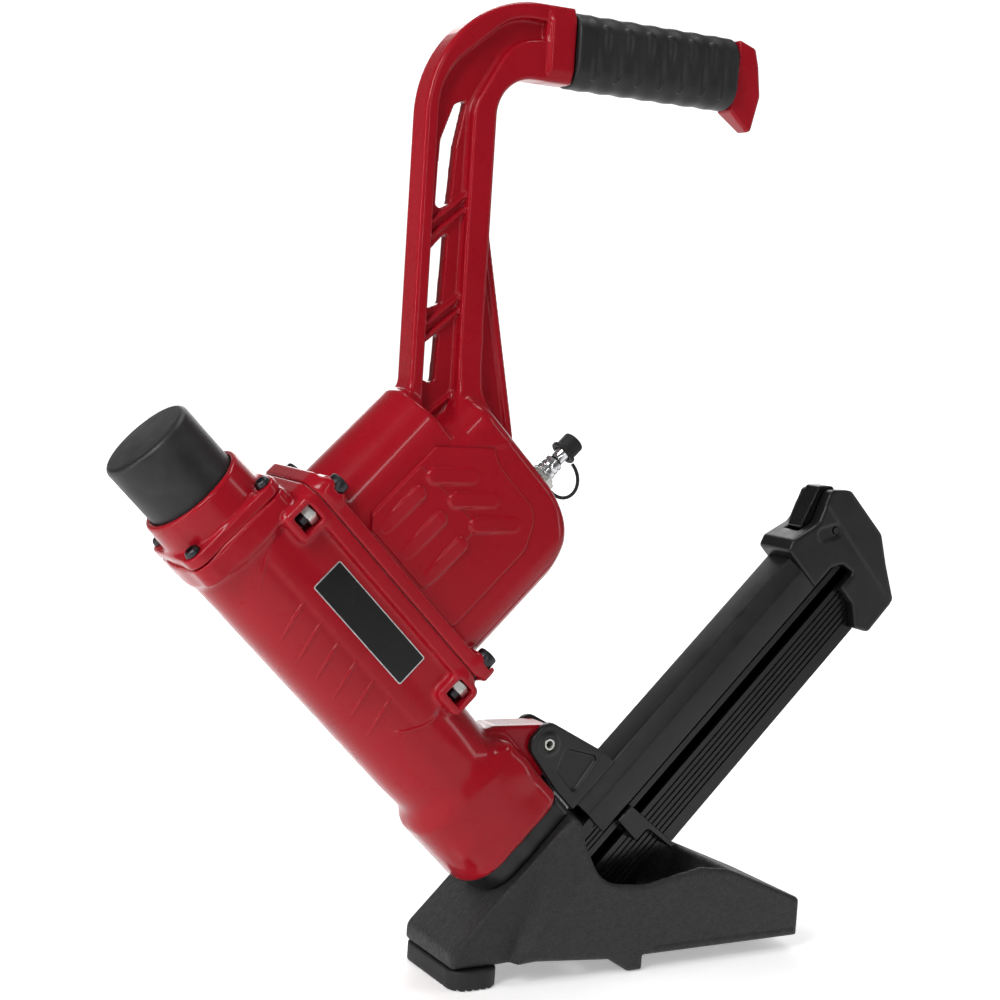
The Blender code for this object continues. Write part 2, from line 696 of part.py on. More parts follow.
def chamber_block(name, upper_u, lower_u, half, high, edge):
    """A block of the air chamber with round ends and a rounded top edge."""
    shapes = [(housing_low_v() + 2, 0.0)]
    for step in range(4):
        angle = math.pi / 6 * step
        shapes.append((high - edge + edge * math.sin(angle), edge * (1 - math.cos(angle))))
    rings = []
    for v, inset in shapes:
        shape = rectangle(upper_u + inset, lower_u - inset, -half + inset, half - inset,
                          CHAMBER_END_RADIUS - inset, 6)
        rings.append([uy_v(u, y, v) for u, y in shape])
    return loft(name, rings)


def frame_outline(inset):
    """Outline of the post, bend and arm in x and z, drawn in by an inset."""
    return rounded([
        (POST_FRONT_X + inset, POST_FOOT_Z, 0), (POST_REAR_X + 8 - inset, POST_FOOT_Z, 0),
        (POST_REAR_X - inset, GUSSET_TOP_Z - 90, 30),
        (POST_REAR_X - inset, ARM_BOTTOM_Z + inset, BEND_INNER + inset),
        (ARM_END_X, ARM_BOTTOM_Z + inset, 0), (ARM_END_X, ARM_TOP_Z - inset, 0),
        (POST_FRONT_X + inset, ARM_TOP_Z - inset, BEND_OUTER - inset)], 8)


def handle_frame(floor):
    """Post, bend, arm and grip core, as one shape in the floor frame, to be joined to the chamber."""
    edge = FRAME_EDGE
    rings = []
    for side in (-1, 1):
        for share in (0, 1, 2)[::side]:
            angle = math.pi / 4 * share
            outline = frame_outline(edge * (1 - math.cos(angle)))
            y = side * (POST_HALF - edge + edge * math.sin(angle))
            rings.append([xz_y(x, z, y) for x, z in outline])
    frame = bpy.data.objects.new("handle_frame_shape", loft("post_and_arm", rings))
    bpy.context.scene.collection.objects.link(frame)
    frame.parent = floor
    frame.hide_render = True
    frame.display_type = "WIRE"
    flare = []
    for z, front, rear, half in ((346, -30, 20, 32), (362, -24, 15, 29), (378, -17, 11.5, 20),
                                 (394, -10, 9.2, 13), (412, -6, POST_REAR_X - 0.4, POST_HALF - 0.4)):
        shape = rectangle(front, rear, -half, half, 5.0, 2)
        flare.append([xy_z(x, y, z) for x, y in shape])
    join(frame, loft("flare", flare))

    core_low, core_high = ARM_BOTTOM_Z + GRIP_CORE_INSET, ARM_TOP_Z - GRIP_CORE_INSET
    core = rectangle(core_low, core_high, -GRIP_CORE_HALF, GRIP_CORE_HALF, 5.0, 3)
    join(frame, prism("grip_core", core, ARM_END_X - 8, GRIP_END_X - GAP, lambda z, y, x: (x, y, z)))
    shoulder = rectangle(ARM_BOTTOM_Z + 0.8, ARM_TOP_Z - 0.8, -POST_HALF - 2.5, POST_HALF + 2.5, 10.0, 4)
    join(frame, prism("arm_shoulder", shoulder, ARM_END_X - 22, ARM_END_X + 0.2, lambda z, y, x: (x, y, z)))

    gusset = [(POST_REAR_X - 6, GUSSET_TOP_Z), (POST_REAR_X - 6, POST_FOOT_Z),
              (GUSSET_FOOT_X - 6, POST_FOOT_Z - 22), (GUSSET_FOOT_X + 6, POST_FOOT_Z - 22),
              (GUSSET_FOOT_X, POST_FOOT_Z - 4),
              (POST_REAR_X + 1, GUSSET_TOP_Z)]
    join(frame, prism("gusset", gusset, -GUSSET_HALF, GUSSET_HALF, xz_y))

    web_front, web_rear = POST_FRONT_X + FRONT_RIB, POST_REAR_X - REAR_RIB
    recess = rounded([(web_front, 380, 3), (web_rear - 1, 380, 3), (web_rear - 1, 572, 6),
                      (web_rear + 26, 607, 8),
                      (web_rear + 54, 611, 4), (web_rear + 54, 619, 4), (web_front + 50, 619, 30),
                      (web_front, 572, 30)], 4)
    for side in (-1, 1):
        edges = sorted((side * WEB_HALF, side * (POST_HALF + 6)))
        cut(frame, prism(f"recess_{side}", recess, *edges, xz_y))
    slot_front = web_front + 3.0
    slot_rear = slot_front + SLOT_WIDTH
    rise = SLOT_WIDTH * math.tan(math.radians(40))
    for number, (low_z, high_z, lean) in enumerate(((387, 411, 0.0), (432, 471, 1.0), (492, 549, 6.0))):
        slot = rounded([(slot_front, low_z, 2.5), (slot_rear, low_z + rise, 2.5),
                        (slot_rear + lean, high_z + rise, 2.5), (slot_front + lean, high_z, 2.5)], 3)
        cut(frame, prism(f"slot_{number}", slot, -POST_HALF, POST_HALF, xz_y))
    return frame


def make_grip(floor):
    outer = (ARM_BOTTOM_Z - 2.5, ARM_TOP_Z - 1.0)
    rings = []
    ribs = 5
    steps = ribs * 4
    span = GRIP_END_X - GRIP_START_X
    for step in range(steps + 1):
        x = GRIP_START_X + span * step / steps
        wave = GRIP_BULGE * math.cos(2 * math.pi * step / 4)
        shape = rectangle(outer[0] - wave, outer[1] + wave, -GRIP_HALF - wave, GRIP_HALF + wave, 15.0, 3)
        rings.append([(x, y, z) for z, y in shape])
    grip = piece("grip_sleeve", loft("grip", rings), "rubber", floor)
    core = rectangle(ARM_BOTTOM_Z + GRIP_CORE_INSET - GAP, ARM_TOP_Z - GRIP_CORE_INSET + GAP,
                     -GRIP_CORE_HALF - GAP, GRIP_CORE_HALF + GAP, 5.0, 3)
    cut(grip, prism("core_hole", core, GRIP_START_X - 5, GRIP_END_X + 5, lambda z, y, x: (x, y, z)))

    start = GRIP_END_X + GAP + GRIP_BULGE
    cap = rounded([(start, ARM_TOP_Z - 3, 1), (END_CAP_TIP_X - 8.5, ARM_TOP_Z - 8, 2),
                   (END_CAP_TIP_X, ARM_TOP_Z - 38, 3), (END_CAP_TIP_X - 3, HOOK_BOTTOM_Z + 2, 3),
                   (END_CAP_TIP_X - 8, HOOK_BOTTOM_Z, 3), (start, ARM_BOTTOM_Z - 3, 1)], 3)
    end_cap = piece("handle_end_cap", prism("cap", cap, -END_CAP_HALF, END_CAP_HALF, xz_y), "red", floor)
    soften(end_cap, 1.6)
    middle = (ARM_TOP_Z + ARM_BOTTOM_Z) / 2
    along_x = lambda z, y, x: (x, y, z)
    cut(end_cap, prism("screw_hole", circle(3.0, 16, (middle, 0)), start - 2, END_CAP_TIP_X + 4, along_x))
    cut(end_cap, prism("counterbore", circle(6.0, 20, (middle, 0)), END_CAP_TIP_X - 9, END_CAP_TIP_X + 4,
                       along_x))
    seat = END_CAP_TIP_X - 9 + GAP
    screw = [(0, seat + 2), (2.2, seat + 2), (2.2, seat + 4), (4.4, seat + 4), (5.2, seat + 2.4),
             (5.2, seat),
             (2.6, seat), (2.6, GRIP_END_X + GAP), (0, GRIP_END_X + GAP)]
    piece("end_cap_screw", turned("screw", screw, offset(along_x, middle, 0), SMALL_ROUND), "black_satin",
          floor)


# ---------------------------------------------------------------- air inlet

def make_inlet(axis):
    place = offset(uy_v, INLET_U, 0)
    base = CHAMBER_TOP_V + GAP
    hex_top = base + INLET_HEX_LENGTH
    bushing = piece("inlet_bushing", prism("bushing", hexagon(INLET_HEX_FLATS, (INLET_U, 0)), base,
                                           hex_top, uy_v), "zinc", axis)
    soften(bushing, 0.8)
    stub = prism("stub", circle(6.6, 16, (INLET_U, 0)), base - 14, base + 2, uy_v)
    join(bushing, stub)
    cut(bushing, prism("port", circle(4.2, 16, (INLET_U, 0)), base - 16, hex_top + 2, uy_v))

    foot = hex_top + GAP
    tip = foot + PLUG_LENGTH
    port = 2.6
    plug = [(port, foot), (PLUG_HEX_FLATS / 2, foot), (PLUG_HEX_FLATS / 2, foot + 5),
            (PLUG_RADIUS, foot + 6),
            (PLUG_RADIUS, foot + 12), (PLUG_NECK_RADIUS, foot + 14), (PLUG_NECK_RADIUS, foot + 19.5),
            (PLUG_RADIUS - 0.8, foot + 21), (PLUG_RADIUS - 0.8, foot + 24.5),
            (PLUG_NECK_RADIUS, foot + 25.5),
            (PLUG_NECK_RADIUS, tip), (port, tip)]
    piece("air_plug", turned("plug", plug, place, 20), "chrome", axis)

    skirt = foot + 20.2
    inner = PLUG_RADIUS - 0.8 + GAP
    rim = DUST_CAP_RADIUS + 1.4
    top = tip + 3.0
    cap = [(0, tip + GAP), (inner, tip + GAP), (inner, skirt), (rim, skirt), (rim, skirt + 2.4),
           (DUST_CAP_RADIUS, skirt + 3.2), (DUST_CAP_RADIUS, top - 1.2), (DUST_CAP_RADIUS - 1.2, top),
           (0, top)]
    piece("dust_cap", turned("cap", cap, place, 20), "rubber", axis)

    collar_v = skirt + 1.2
    ring_v = base + INLET_HEX_LENGTH - 2
    reach = 25.0
    points = []
    near_hex = INLET_HEX_FLATS / math.sqrt(3)
    for step in range(17):
        share = step / 16
        v = ring_v + (collar_v - ring_v) * (1 - math.cos(math.pi * share)) / 2
        start = near_hex + (rim - near_hex) * share + TETHER_RADIUS + 2 * GAP
        points.append(uy_v(INLET_U + start + (reach - near_hex) * math.sin(math.pi * share), 0.0, v))
    tether = wire("dust_cap_tether", points, TETHER_RADIUS, axis, roundness=2)
    finish(tether, "rubber")


# ---------------------------------------------------------------- nose block and bracket

def make_nose_block(axis):
    low = NOSE_END + GAP
    high = low + NOSE_BLOCK_THICKNESS
    outline = barrel_section(NOSE_FRONT + 5, NOSE_REAR, NOSE_HALF - 3, 22.0, 6.0)
    block = piece("nose_block", prism("block", outline, low, high, vy_u), "black_satin", axis)
    spigot = prism("spigot", circle(NOSE_POCKET - GAP, 28), low - 20, low + 2, vy_u)
    join(block, spigot)
    guide = rectangle(GUIDE_FRONT_V, GUIDE_REAR_V, -GUIDE_HALF, GUIDE_HALF, 2.0, 2)
    join(block, prism("guide", guide, high - 2, GUIDE_END_U, vy_u))
    slot = rectangle(-BLADE_THICKNESS / 2 - GAP, BLADE_THICKNESS / 2 + GAP, -BLADE_WIDTH / 2 - GAP,
                     BLADE_WIDTH / 2 + GAP)
    cut(block, prism("blade_slot", slot, low - 24, GUIDE_END_U + 3, vy_u))
    inner = RAIL_HALF - RAIL_WALL
    feed = rectangle(RAIL_TOP_U + 15, GUIDE_END_U + 3, -inner, inner)
    cut(block, prism("feed_slot", feed, 0, GUIDE_REAR_V + 3, uy_v))


def make_bracket(axis):
    inner = LUG_HALF + GAP
    outer = inner + EAR_THICKNESS
    plate = rounded([(NOSE_REAR + 3, BRACKET_FOOT_U - 20, 2),
                     (PIN_V - EAR_RADIUS, PIN_U - 8, EAR_RADIUS - 5),
                     (PIN_V - 6, PIN_U - EAR_RADIUS, 8), (PIN_V + EAR_RADIUS - 2, PIN_U - EAR_RADIUS, 9),
                     (BRACKET_REAR_V, BRACKET_FOOT_U - 8, 3), (BRACKET_REAR_V, BRACKET_FOOT_U, 0),
                     (NOSE_REAR + 3, BRACKET_FOOT_U, 0)], 4)
    bracket = piece("magazine_bracket", prism("plates", plate, -outer, outer, vu_y), "black_satin", axis)
    slot = [(NOSE_REAR - 5, PIN_U - 30), (BRACKET_REAR_V + 5, PIN_U - 30),
            (BRACKET_REAR_V + 5, BRACKET_FOOT_U - 18),
            (NOSE_REAR - 5, BRACKET_FOOT_U - 18)]
    cut(bracket, prism("lug_slot", slot, -inner, inner, vu_y))
    cut(bracket, prism("pin_hole", circle(PIN_RADIUS + GAP, 16, (PIN_V, PIN_U)), -30, 30, vu_y))
    recess = rounded([(PIN_V - 6, PIN_U + 18, 2), (PIN_V + 12, PIN_U + 14, 2),
                      (BRACKET_REAR_V - 5, BRACKET_FOOT_U - 12, 2),
                      (PIN_V + 5, BRACKET_FOOT_U - 8, 2)], 2)
    for side in (-1, 1):
        edges = sorted((side * (outer - 1.6), side * (outer + 3)))
        cut(bracket, prism(f"recess_{side}", recess, *edges, vu_y))
    pin = [(2.2, -outer - 0.8), (PIN_RADIUS, -outer - 0.8), (PIN_RADIUS, outer + 0.8), (2.2, outer + 0.8)]
    place = lambda a, b, y: vu_y(a + PIN_V, b + PIN_U, y)
    piece("bracket_pin", turned("pin", pin, place, SMALL_ROUND), "zinc", axis)


# ---------------------------------------------------------------- magazine

def make_magazine(axis):
    crown, half = COVER_CROWN_HALF, COVER_HALF
    shoulder = COVER_TOP_U + 11.0
    outer = rounded([(COVER_EDGE_U, -half, 0), (shoulder, -half, 3), (COVER_TOP_U, -crown, 4),
                     (COVER_TOP_U, crown, 4), (shoulder, half, 3), (COVER_EDGE_U, half, 0)], 3)
    cover = piece("magazine_cover", prism("cover", outer, COVER_FRONT_V, COVER_REAR_V, uy_v), "black_satin",
                  axis)
    wall = COVER_WALL
    hollow = [(COVER_EDGE_U + 4, -half + wall), (shoulder + 1.5, -half + wall),
              (COVER_TOP_U + wall + 1, -crown + 1),
              (COVER_TOP_U + wall + 1, crown - 1), (shoulder + 1.5, half - wall),
              (COVER_EDGE_U + 4, half - wall)]
    cut(cover, prism("hollow", hollow, COVER_FRONT_V - 4, COVER_REAR_V + 4, uy_v))

    section = rectangle(RAIL_TOP_U, RAIL_BOTTOM_U, -RAIL_HALF, RAIL_HALF, 1.0, 2)
    rail = piece("magazine_rail", prism("rail", section, RAIL_FRONT_V, RAIL_REAR_V, uy_v), "black_gloss",
                 axis)
    inner = RAIL_HALF - RAIL_WALL
    channel = rectangle(RAIL_TOP_U + 15, RAIL_BOTTOM_U - RAIL_WALL, -inner, inner)
    cut(rail, prism("channel", channel, RAIL_FRONT_V - 4, RAIL_REAR_V + 4, uy_v))
    track = rectangle(TRACK_UPPER_U, TRACK_UPPER_U + TRACK_WIDTH, -RAIL_HALF - 3, -inner + 2)
    cut(rail, prism("track", track, PUSHER_FRONT_V - 6, PUSHER_FRONT_V + PUSHER_LENGTH + PUSHER_TRAVEL + 6,
                    uy_v))
    wing = rectangle(RAIL_TOP_U, RAIL_TOP_U + 6, -half + wall + GAP, half - wall - GAP)
    join(rail, prism("wing", wing, COVER_FRONT_V + 2, COVER_REAR_V - 2, uy_v))

    make_pusher(axis, inner)
    make_end_block(axis)


def make_pusher(axis, inner):
    front, rear = PUSHER_FRONT_V, PUSHER_FRONT_V + PUSHER_LENGTH
    slide = rectangle(RAIL_TOP_U + 15 + GAP, RAIL_BOTTOM_U - RAIL_WALL - GAP, -inner + GAP, inner - GAP)
    pusher = piece("pusher", prism("slide", slide, front, rear, uy_v), "black_gloss", axis)
    neck = rectangle(TRACK_UPPER_U + GAP, TRACK_UPPER_U + TRACK_WIDTH - GAP, -RAIL_HALF - 3, 0)
    join(pusher, prism("neck", neck, front + 1, rear - 1, uy_v))
    tab_face = -RAIL_HALF - GAP
    tab = rounded([(front, COVER_EDGE_U + 3, 1), (rear - 2, COVER_EDGE_U + 3, 1),
                   (rear + 4, RAIL_BOTTOM_U - 4, 1),
                   (rear, RAIL_BOTTOM_U - 4, 1), (rear - 4, 437, 1), (front, 437, 1)], 2)
    join(pusher, prism("tab", tab, tab_face - PUSHER_TAB_REACH, tab_face, vu_y), 0.8)
    drum_u = RAIL_BOTTOM_U - 26
    drum = circle(5.6, 16, ((front + rear) / 2, drum_u))
    cut(pusher, prism("drum_pocket", drum, -inner - 1, inner + 1, vu_y))
    strip = [(RAIL_FRONT_V + 30, drum_u + 5.2), (RAIL_FRONT_V + 30, drum_u + 6.6), (rear - 2, drum_u + 6.6),
             (rear - 2, drum_u + 5.2)]
    cut(pusher, prism("strip_slot", strip, -inner - 1, inner + 1, vu_y))
    spring = piece("pusher_spring",
                   turned("spring", [(2.4, -5.0), (5.2, -5.0), (5.2, 5.0), (2.4, 5.0)],
                          lambda a, b, y: vu_y(a + (front + rear) / 2, b + drum_u, y), SMALL_ROUND),
                   "steel", axis)
    tail = [(RAIL_FRONT_V + 8, drum_u + 5.5), (RAIL_FRONT_V + 8, drum_u + 6.2), (rear - 7, drum_u + 6.2),
            (rear - 7, drum_u + 4.4), (rear - 9, drum_u + 4.4), (rear - 10, drum_u + 5.5)]
    join(spring, prism("tail", tail, -5.0, 5.0, vu_y))


def make_end_block(axis):
    front = COVER_REAR_V + GAP
    rear, bottom = END_BLOCK_REAR_V, END_BLOCK_BOTTOM_U
    half = END_BLOCK_HALF
    outline = rounded([
        (front, COVER_EDGE_U, 0), (front, COVER_TOP_U - 8, 2), (front + 8, COVER_TOP_U - 11, 3),
        (front + 31, COVER_TOP_U - 4, 10), (front + 55, COVER_TOP_U - 14, 4), (rear, COVER_TOP_U - 1, 6),
        (rear, 427, 8), (rear - 11, 447, 8), (rear - 23, bottom - 1, 3), (rear - 55, bottom, 3),
                       (rear - 62, 462, 2),
        (rear - 52, 447, 1), (rear - 52, 430, 1), (rear - 37, 430, 1), (rear - 40, 418, 4),
        (rear - 49, COVER_EDGE_U, 3)], 3)
    block = piece("magazine_end_cap", prism("block", outline, -half, half, vu_y), "black_satin", axis)
    soften(block, 1.6)
    rail_slot = rectangle(RAIL_TOP_U - GAP, bottom + 4, -RAIL_HALF - GAP, RAIL_HALF + GAP)
    cut(block, prism("rail_slot", rail_slot, front - 30, RAIL_REAR_V + GAP, uy_v))
    lever_slot = [(front + 20, COVER_TOP_U - 20), (rear + 4, COVER_TOP_U - 20), (rear + 4, COVER_TOP_U),
                  (LATCH_PIN_V + 9, LATCH_PIN_U + 4), (LATCH_PIN_V - 7, LATCH_PIN_U + 4),
                  (front + 20, COVER_TOP_U + 2)]
    cut(block, prism("lever_slot", lever_slot, -LATCH_HALF - 0.5, LATCH_HALF + 0.5, vu_y))
    hole = circle(LATCH_PIN_RADIUS + GAP, 16, (LATCH_PIN_V, LATCH_PIN_U))
    cut(block, prism("pin_hole", hole, -half - 3, half + 3, vu_y))

    lever_outline = rounded([
        (front + 23, COVER_TOP_U - 8, 2), (front + 42, COVER_TOP_U - 14, 8),
                             (front + 54, COVER_TOP_U - 18, 2),
        (rear - 4, COVER_TOP_U - 8, 3), (LATCH_PIN_V + 12, COVER_TOP_U + 2, 3),
                             (LATCH_PIN_V + 5, LATCH_PIN_U + 1, 3),
        (LATCH_PIN_V, LATCH_PIN_U + 3.6, 3), (LATCH_PIN_V - 5, LATCH_PIN_U + 1, 3),
                             (LATCH_PIN_V - 6, COVER_TOP_U + 1, 3),
        (front + 23, COVER_TOP_U - 3, 1)], 3)
    pivot = empty("latch_axis", vu_y(LATCH_PIN_V, LATCH_PIN_U, 0), parent=axis)
    place = offset(vu_y, -LATCH_PIN_V, -LATCH_PIN_U)
    lever = piece("latch_lever", prism("lever", lever_outline, -LATCH_HALF, LATCH_HALF, place),
                  "black_gloss", pivot)
    soften(lever, 0.8)
    cut(lever, prism("pin_hole", hole, -LATCH_HALF - 3, LATCH_HALF + 3, place))
    pin = [(0, -half + 0.4), (LATCH_PIN_RADIUS, -half + 0.4), (LATCH_PIN_RADIUS, half - 0.4),
           (0, half - 0.4)]
    place = lambda a, b, y: vu_y(a + LATCH_PIN_V, b + LATCH_PIN_U, y)
    piece("latch_pin", turned("pin", pin, place, SMALL_ROUND), "steel", axis)


# ---------------------------------------------------------------- base

def make_base(floor, axis):
    seat_u = NOSE_END + GAP + NOSE_BLOCK_THICKNESS + GAP
    neck_top = floor_point(NOSE_REAR + 1, seat_u)
    front_low = (0, neck_top[1] - neck_top[0] / math.tan(TILT))
    lip_top = SOLE_Z
    outline = rounded([
        (0, FOOT_HEIGHT + GAP, 3), (0, front_low[1], 8), (neck_top[0], neck_top[1], 4),
        (neck_top[0] + 4, neck_top[1] - 20, 14), (ARCH_X - 34, ARCH_Z + 2, 22), (ARCH_X, ARCH_Z - 2, 18),
        (ARCH_X + 46, ARCH_Z + 6, 12), (BASE_REAR_X - 64, ARCH_Z + 3, 10), (BASE_REAR_X, BASE_REAR_Z, 3),
        (BASE_REAR_X, SOLE_Z + SOLE_THICKNESS + GAP, 1), (SOLE_FRONT_X - 3, SOLE_Z + SOLE_THICKNESS + GAP,
                                                          0),
        (SOLE_FRONT_X - 3, lip_top, 0), (LIP_REAR_X, lip_top, 1), (LIP_REAR_X, 0, 1.5), (LIP_FRONT_X, 0, 2),
        (LIP_FRONT_X - 15, lip_top, 1), (FOOT_LENGTH + 24, FOOT_HEIGHT + 2, 2),
                       (FOOT_LENGTH + GAP, FOOT_HEIGHT + GAP, 0)], 4)
    base = piece("base_casting", prism("base", outline, -BASE_HALF, BASE_HALF, xz_y), "black_cast", floor)
    soften(base, 2.0)

    trough_half = BASE_HALF - BASE_WALL
    trough = rounded([(ARCH_X - 38, 30, 6), (BASE_REAR_X - 68, 30, 6), (BASE_REAR_X - 48, 90, 0),
                      (ARCH_X - 38, 130, 0)], 3)
    cut(base, prism("trough", trough, -trough_half, trough_half, xz_y))
    hollow = [(42, -5), (114, -5), (114, 36), (92, 58), (68, 74), (42, 50)]
    cut(base, prism("front_hollow", hollow, -NOSE_HALF, NOSE_HALF, xz_y))
    rear_hollow = [(212, 8), (BASE_REAR_X - 7, 8), (BASE_REAR_X - 7, 30), (238, 46), (212, 54)]
    cut(base, prism("rear_hollow", rear_hollow, -19, 19, xz_y))
    floor_hollow = rectangle(SOLE_FRONT_X + 8, 205, 8, 24)
    cut(base, prism("floor_hollow", floor_hollow, -trough_half, trough_half, xz_y))
    for side in (-1, 1):
        waist = [(-10, 20), (FOOT_LENGTH + 6, 20), (FOOT_LENGTH + 22, 62), (100, 130), (-10, 130)]
        rings = [[xz_y(x, z, side * (NOSE_HALF + 7)) for x, z in waist],
                 [xz_y(x + 6 * (x > 0), z - 6, side * (BASE_HALF + 5)) for x, z in waist]]
        cut(base, loft(f"waist_{side}", rings))
    lip_gap = [(LIP_FRONT_X - 24, -5), (LIP_REAR_X + 5, -5), (LIP_REAR_X + 5, SOLE_Z + 6),
               (LIP_FRONT_X - 24, SOLE_Z + 6)]
    cut(base, prism("lip_gap", lip_gap, -LIP_GAP_HALF, LIP_GAP_HALF, xz_y))

    clear = 1.0
    well = rectangle(GUIDE_FRONT_V - clear, GUIDE_REAR_V + clear + 3, -GUIDE_HALF - clear,
                     GUIDE_HALF + clear)
    guide_well = prism("guide_well", well, seat_u - 6, DRIVE_LENGTH + 20, vy_u)
    rail_well = rectangle(COVER_TOP_U - 6, RAIL_BOTTOM_U + clear, -COVER_HALF - clear, COVER_HALF + clear)
    rail_clear = prism("rail_well", rail_well, RAIL_FRONT_V - clear, BRACKET_REAR_V + 120, uy_v)
    for mesh in (guide_well, rail_clear):
        tool = bpy.data.objects.new(f"base_casting_{mesh.name}", mesh)
        bpy.context.scene.collection.objects.link(tool)
        tool.parent = axis
        tool.hide_render = True
        tool.display_type = "WIRE"
        modifier = base.modifiers.new(mesh.name, "BOOLEAN")
        modifier.object = tool

    sole = rectangle(SOLE_FRONT_X, BASE_REAR_X - 2, -BASE_HALF + 1.5, BASE_HALF - 1.5, 4.0, 2)
    sole_plate = piece("sole_plate", prism("sole", sole, SOLE_Z, SOLE_Z + SOLE_THICKNESS, xy_z),
                       "black_satin", floor)
    number = 0
    for x in (SOLE_FRONT_X + 68, BASE_REAR_X - 14):
        for y in (-26, 26):
            number += 1
            hole = circle(2.4, 12, (x, y))
            cut(base, prism(f"sole_tap_{number}", hole, SOLE_Z, SOLE_Z + SOLE_THICKNESS + 10, xy_z))
            cut(sole_plate, prism(f"hole_{number}", hole, SOLE_Z - 2, SOLE_Z + SOLE_THICKNESS + 2, xy_z))
            cut(sole_plate, prism(f"head_{number}", circle(4.6, 12, (x, y)), SOLE_Z - 2, SOLE_Z + 2.6,
                                  xy_z))
            low = SOLE_Z + 0.2
            screw = [(0, low + 1.4), (1.6, low + 1.4), (1.6, low), (4.2, low), (4.2, low + 2.1),
                     (2.1, low + 2.1),
                     (2.1, SOLE_Z + SOLE_THICKNESS + 8), (0, SOLE_Z + SOLE_THICKNESS + 8)]
            piece(f"sole_screw_{number}", turned("screw", screw, offset(xy_z, x, y), 12), "steel", floor)

    ribs = []
    pitch = FOOT_LENGTH / 7
    for k in range(7):
        ribs += [(pitch * k + 1.0, 0), (pitch * k + pitch - 1.0, 0), (pitch * k + pitch - 0.5, 1.2),
                 (pitch * (k + 1) + 0.5, 1.2)]
    ribs = [(0, 1.2)] + ribs[:-1]
    foot_outline = ribs + [(FOOT_LENGTH, 1.2), (FOOT_LENGTH, FOOT_HEIGHT), (0, FOOT_HEIGHT)]
    foot = piece("front_foot", prism("foot", foot_outline, -FOOT_HALF, FOOT_HALF, xz_y), "rubber", floor)
    corner = rectangle(0, FOOT_LENGTH, -FOOT_HALF, FOOT_HALF, 6.0)
    combine(foot, prism("corners", corner, -5, FOOT_HEIGHT + 5, xy_z), "INTERSECT")


def main():
    for obj in list(bpy.data.objects):
        bpy.data.objects.remove(obj)
    floor = empty("floor_frame", (-MIDDLE_X, 0, 0))
    top_x, top_z = floor_point(0, 0)
    axis = empty("drive_axis", (top_x, 0, top_z), (0, TILT - math.pi / 2, 0), floor)
    make_striker(axis)
    make_collar(axis)
    make_barrel(axis)
    make_engine(axis)
    make_seam(axis)
    make_handle_housing(axis, floor)
    make_grip(floor)
    make_inlet(axis)
    make_nose_block(axis)
    make_bracket(axis)
    make_magazine(axis)
    make_base(floor, axis)


main()
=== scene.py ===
"""Looks of the flooring nailer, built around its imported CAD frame.

Lengths in the shape code are millimetres and become metres when a mesh is made. Two frames
are used, as in the CAD: the floor frame (x along the floor from the front foot's corner, z up)
and the drive frame (u down the drive axis from the top of the strike cap, v square to it,
towards the handle). y runs across the tool in both. The cast pieces are distance fields,
meshed with surface nets, so that their fillets blend as a casting's do.
"""

import math

import bmesh
import bpy
import numpy as np
from mathutils import Matrix, Quaternion, Vector


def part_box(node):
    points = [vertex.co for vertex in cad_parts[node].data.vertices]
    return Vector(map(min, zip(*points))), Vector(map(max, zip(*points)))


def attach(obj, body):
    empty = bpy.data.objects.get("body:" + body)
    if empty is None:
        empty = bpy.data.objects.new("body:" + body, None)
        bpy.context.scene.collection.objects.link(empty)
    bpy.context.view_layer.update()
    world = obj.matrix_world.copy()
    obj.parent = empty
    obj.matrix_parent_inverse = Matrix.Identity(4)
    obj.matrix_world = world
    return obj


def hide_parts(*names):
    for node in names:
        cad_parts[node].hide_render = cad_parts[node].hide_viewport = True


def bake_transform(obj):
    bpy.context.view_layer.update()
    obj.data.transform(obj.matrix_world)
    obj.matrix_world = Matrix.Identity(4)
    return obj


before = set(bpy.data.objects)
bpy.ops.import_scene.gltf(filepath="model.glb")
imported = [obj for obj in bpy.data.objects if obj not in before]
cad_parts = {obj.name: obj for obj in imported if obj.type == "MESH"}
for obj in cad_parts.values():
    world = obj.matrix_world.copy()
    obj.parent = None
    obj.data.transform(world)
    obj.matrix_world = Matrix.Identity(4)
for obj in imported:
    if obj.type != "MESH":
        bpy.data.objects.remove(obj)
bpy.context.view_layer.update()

MM = 0.001
S = math.sqrt(0.5)
MIDDLE_X = 65.3
DRIVE_LENGTH = 490.7
DRIVE_FOOT_X = 139.1
CELL = 1.15                    # grid cell of the cast pieces


# ---------------------------------------------------------------- frames

def floor_of(v, u):
    """Floor-frame x and z of a drive-frame point."""
    along = u - DRIVE_LENGTH
    return DRIVE_FOOT_X + along * S + v * S, v * S - along * S


def from_drive(v, u, y):
    x, z = floor_of(v, u)
    return x, y, z


def metres(point):
    return ((point[0] - MIDDLE_X) * MM, point[1] * MM, point[2] * MM)


# A place function puts (outline a, outline b, depth) into the floor frame; its name says which
# coordinate each of the three is.

def vy_u(v, y, u):
    return from_drive(v, u, y)


def uy_v(u, y, v):
    return from_drive(v, u, y)


def vu_y(v, u, y):
    return from_drive(v, u, y)


def uv_y(u, v, y):
    return from_drive(v, u, y)


def zy_x(z, y, x):
    return (x, y, z)


def offset(place, first, second):
    return lambda a, b, c: place(a + first, b + second, c)


# ---------------------------------------------------------------- materials

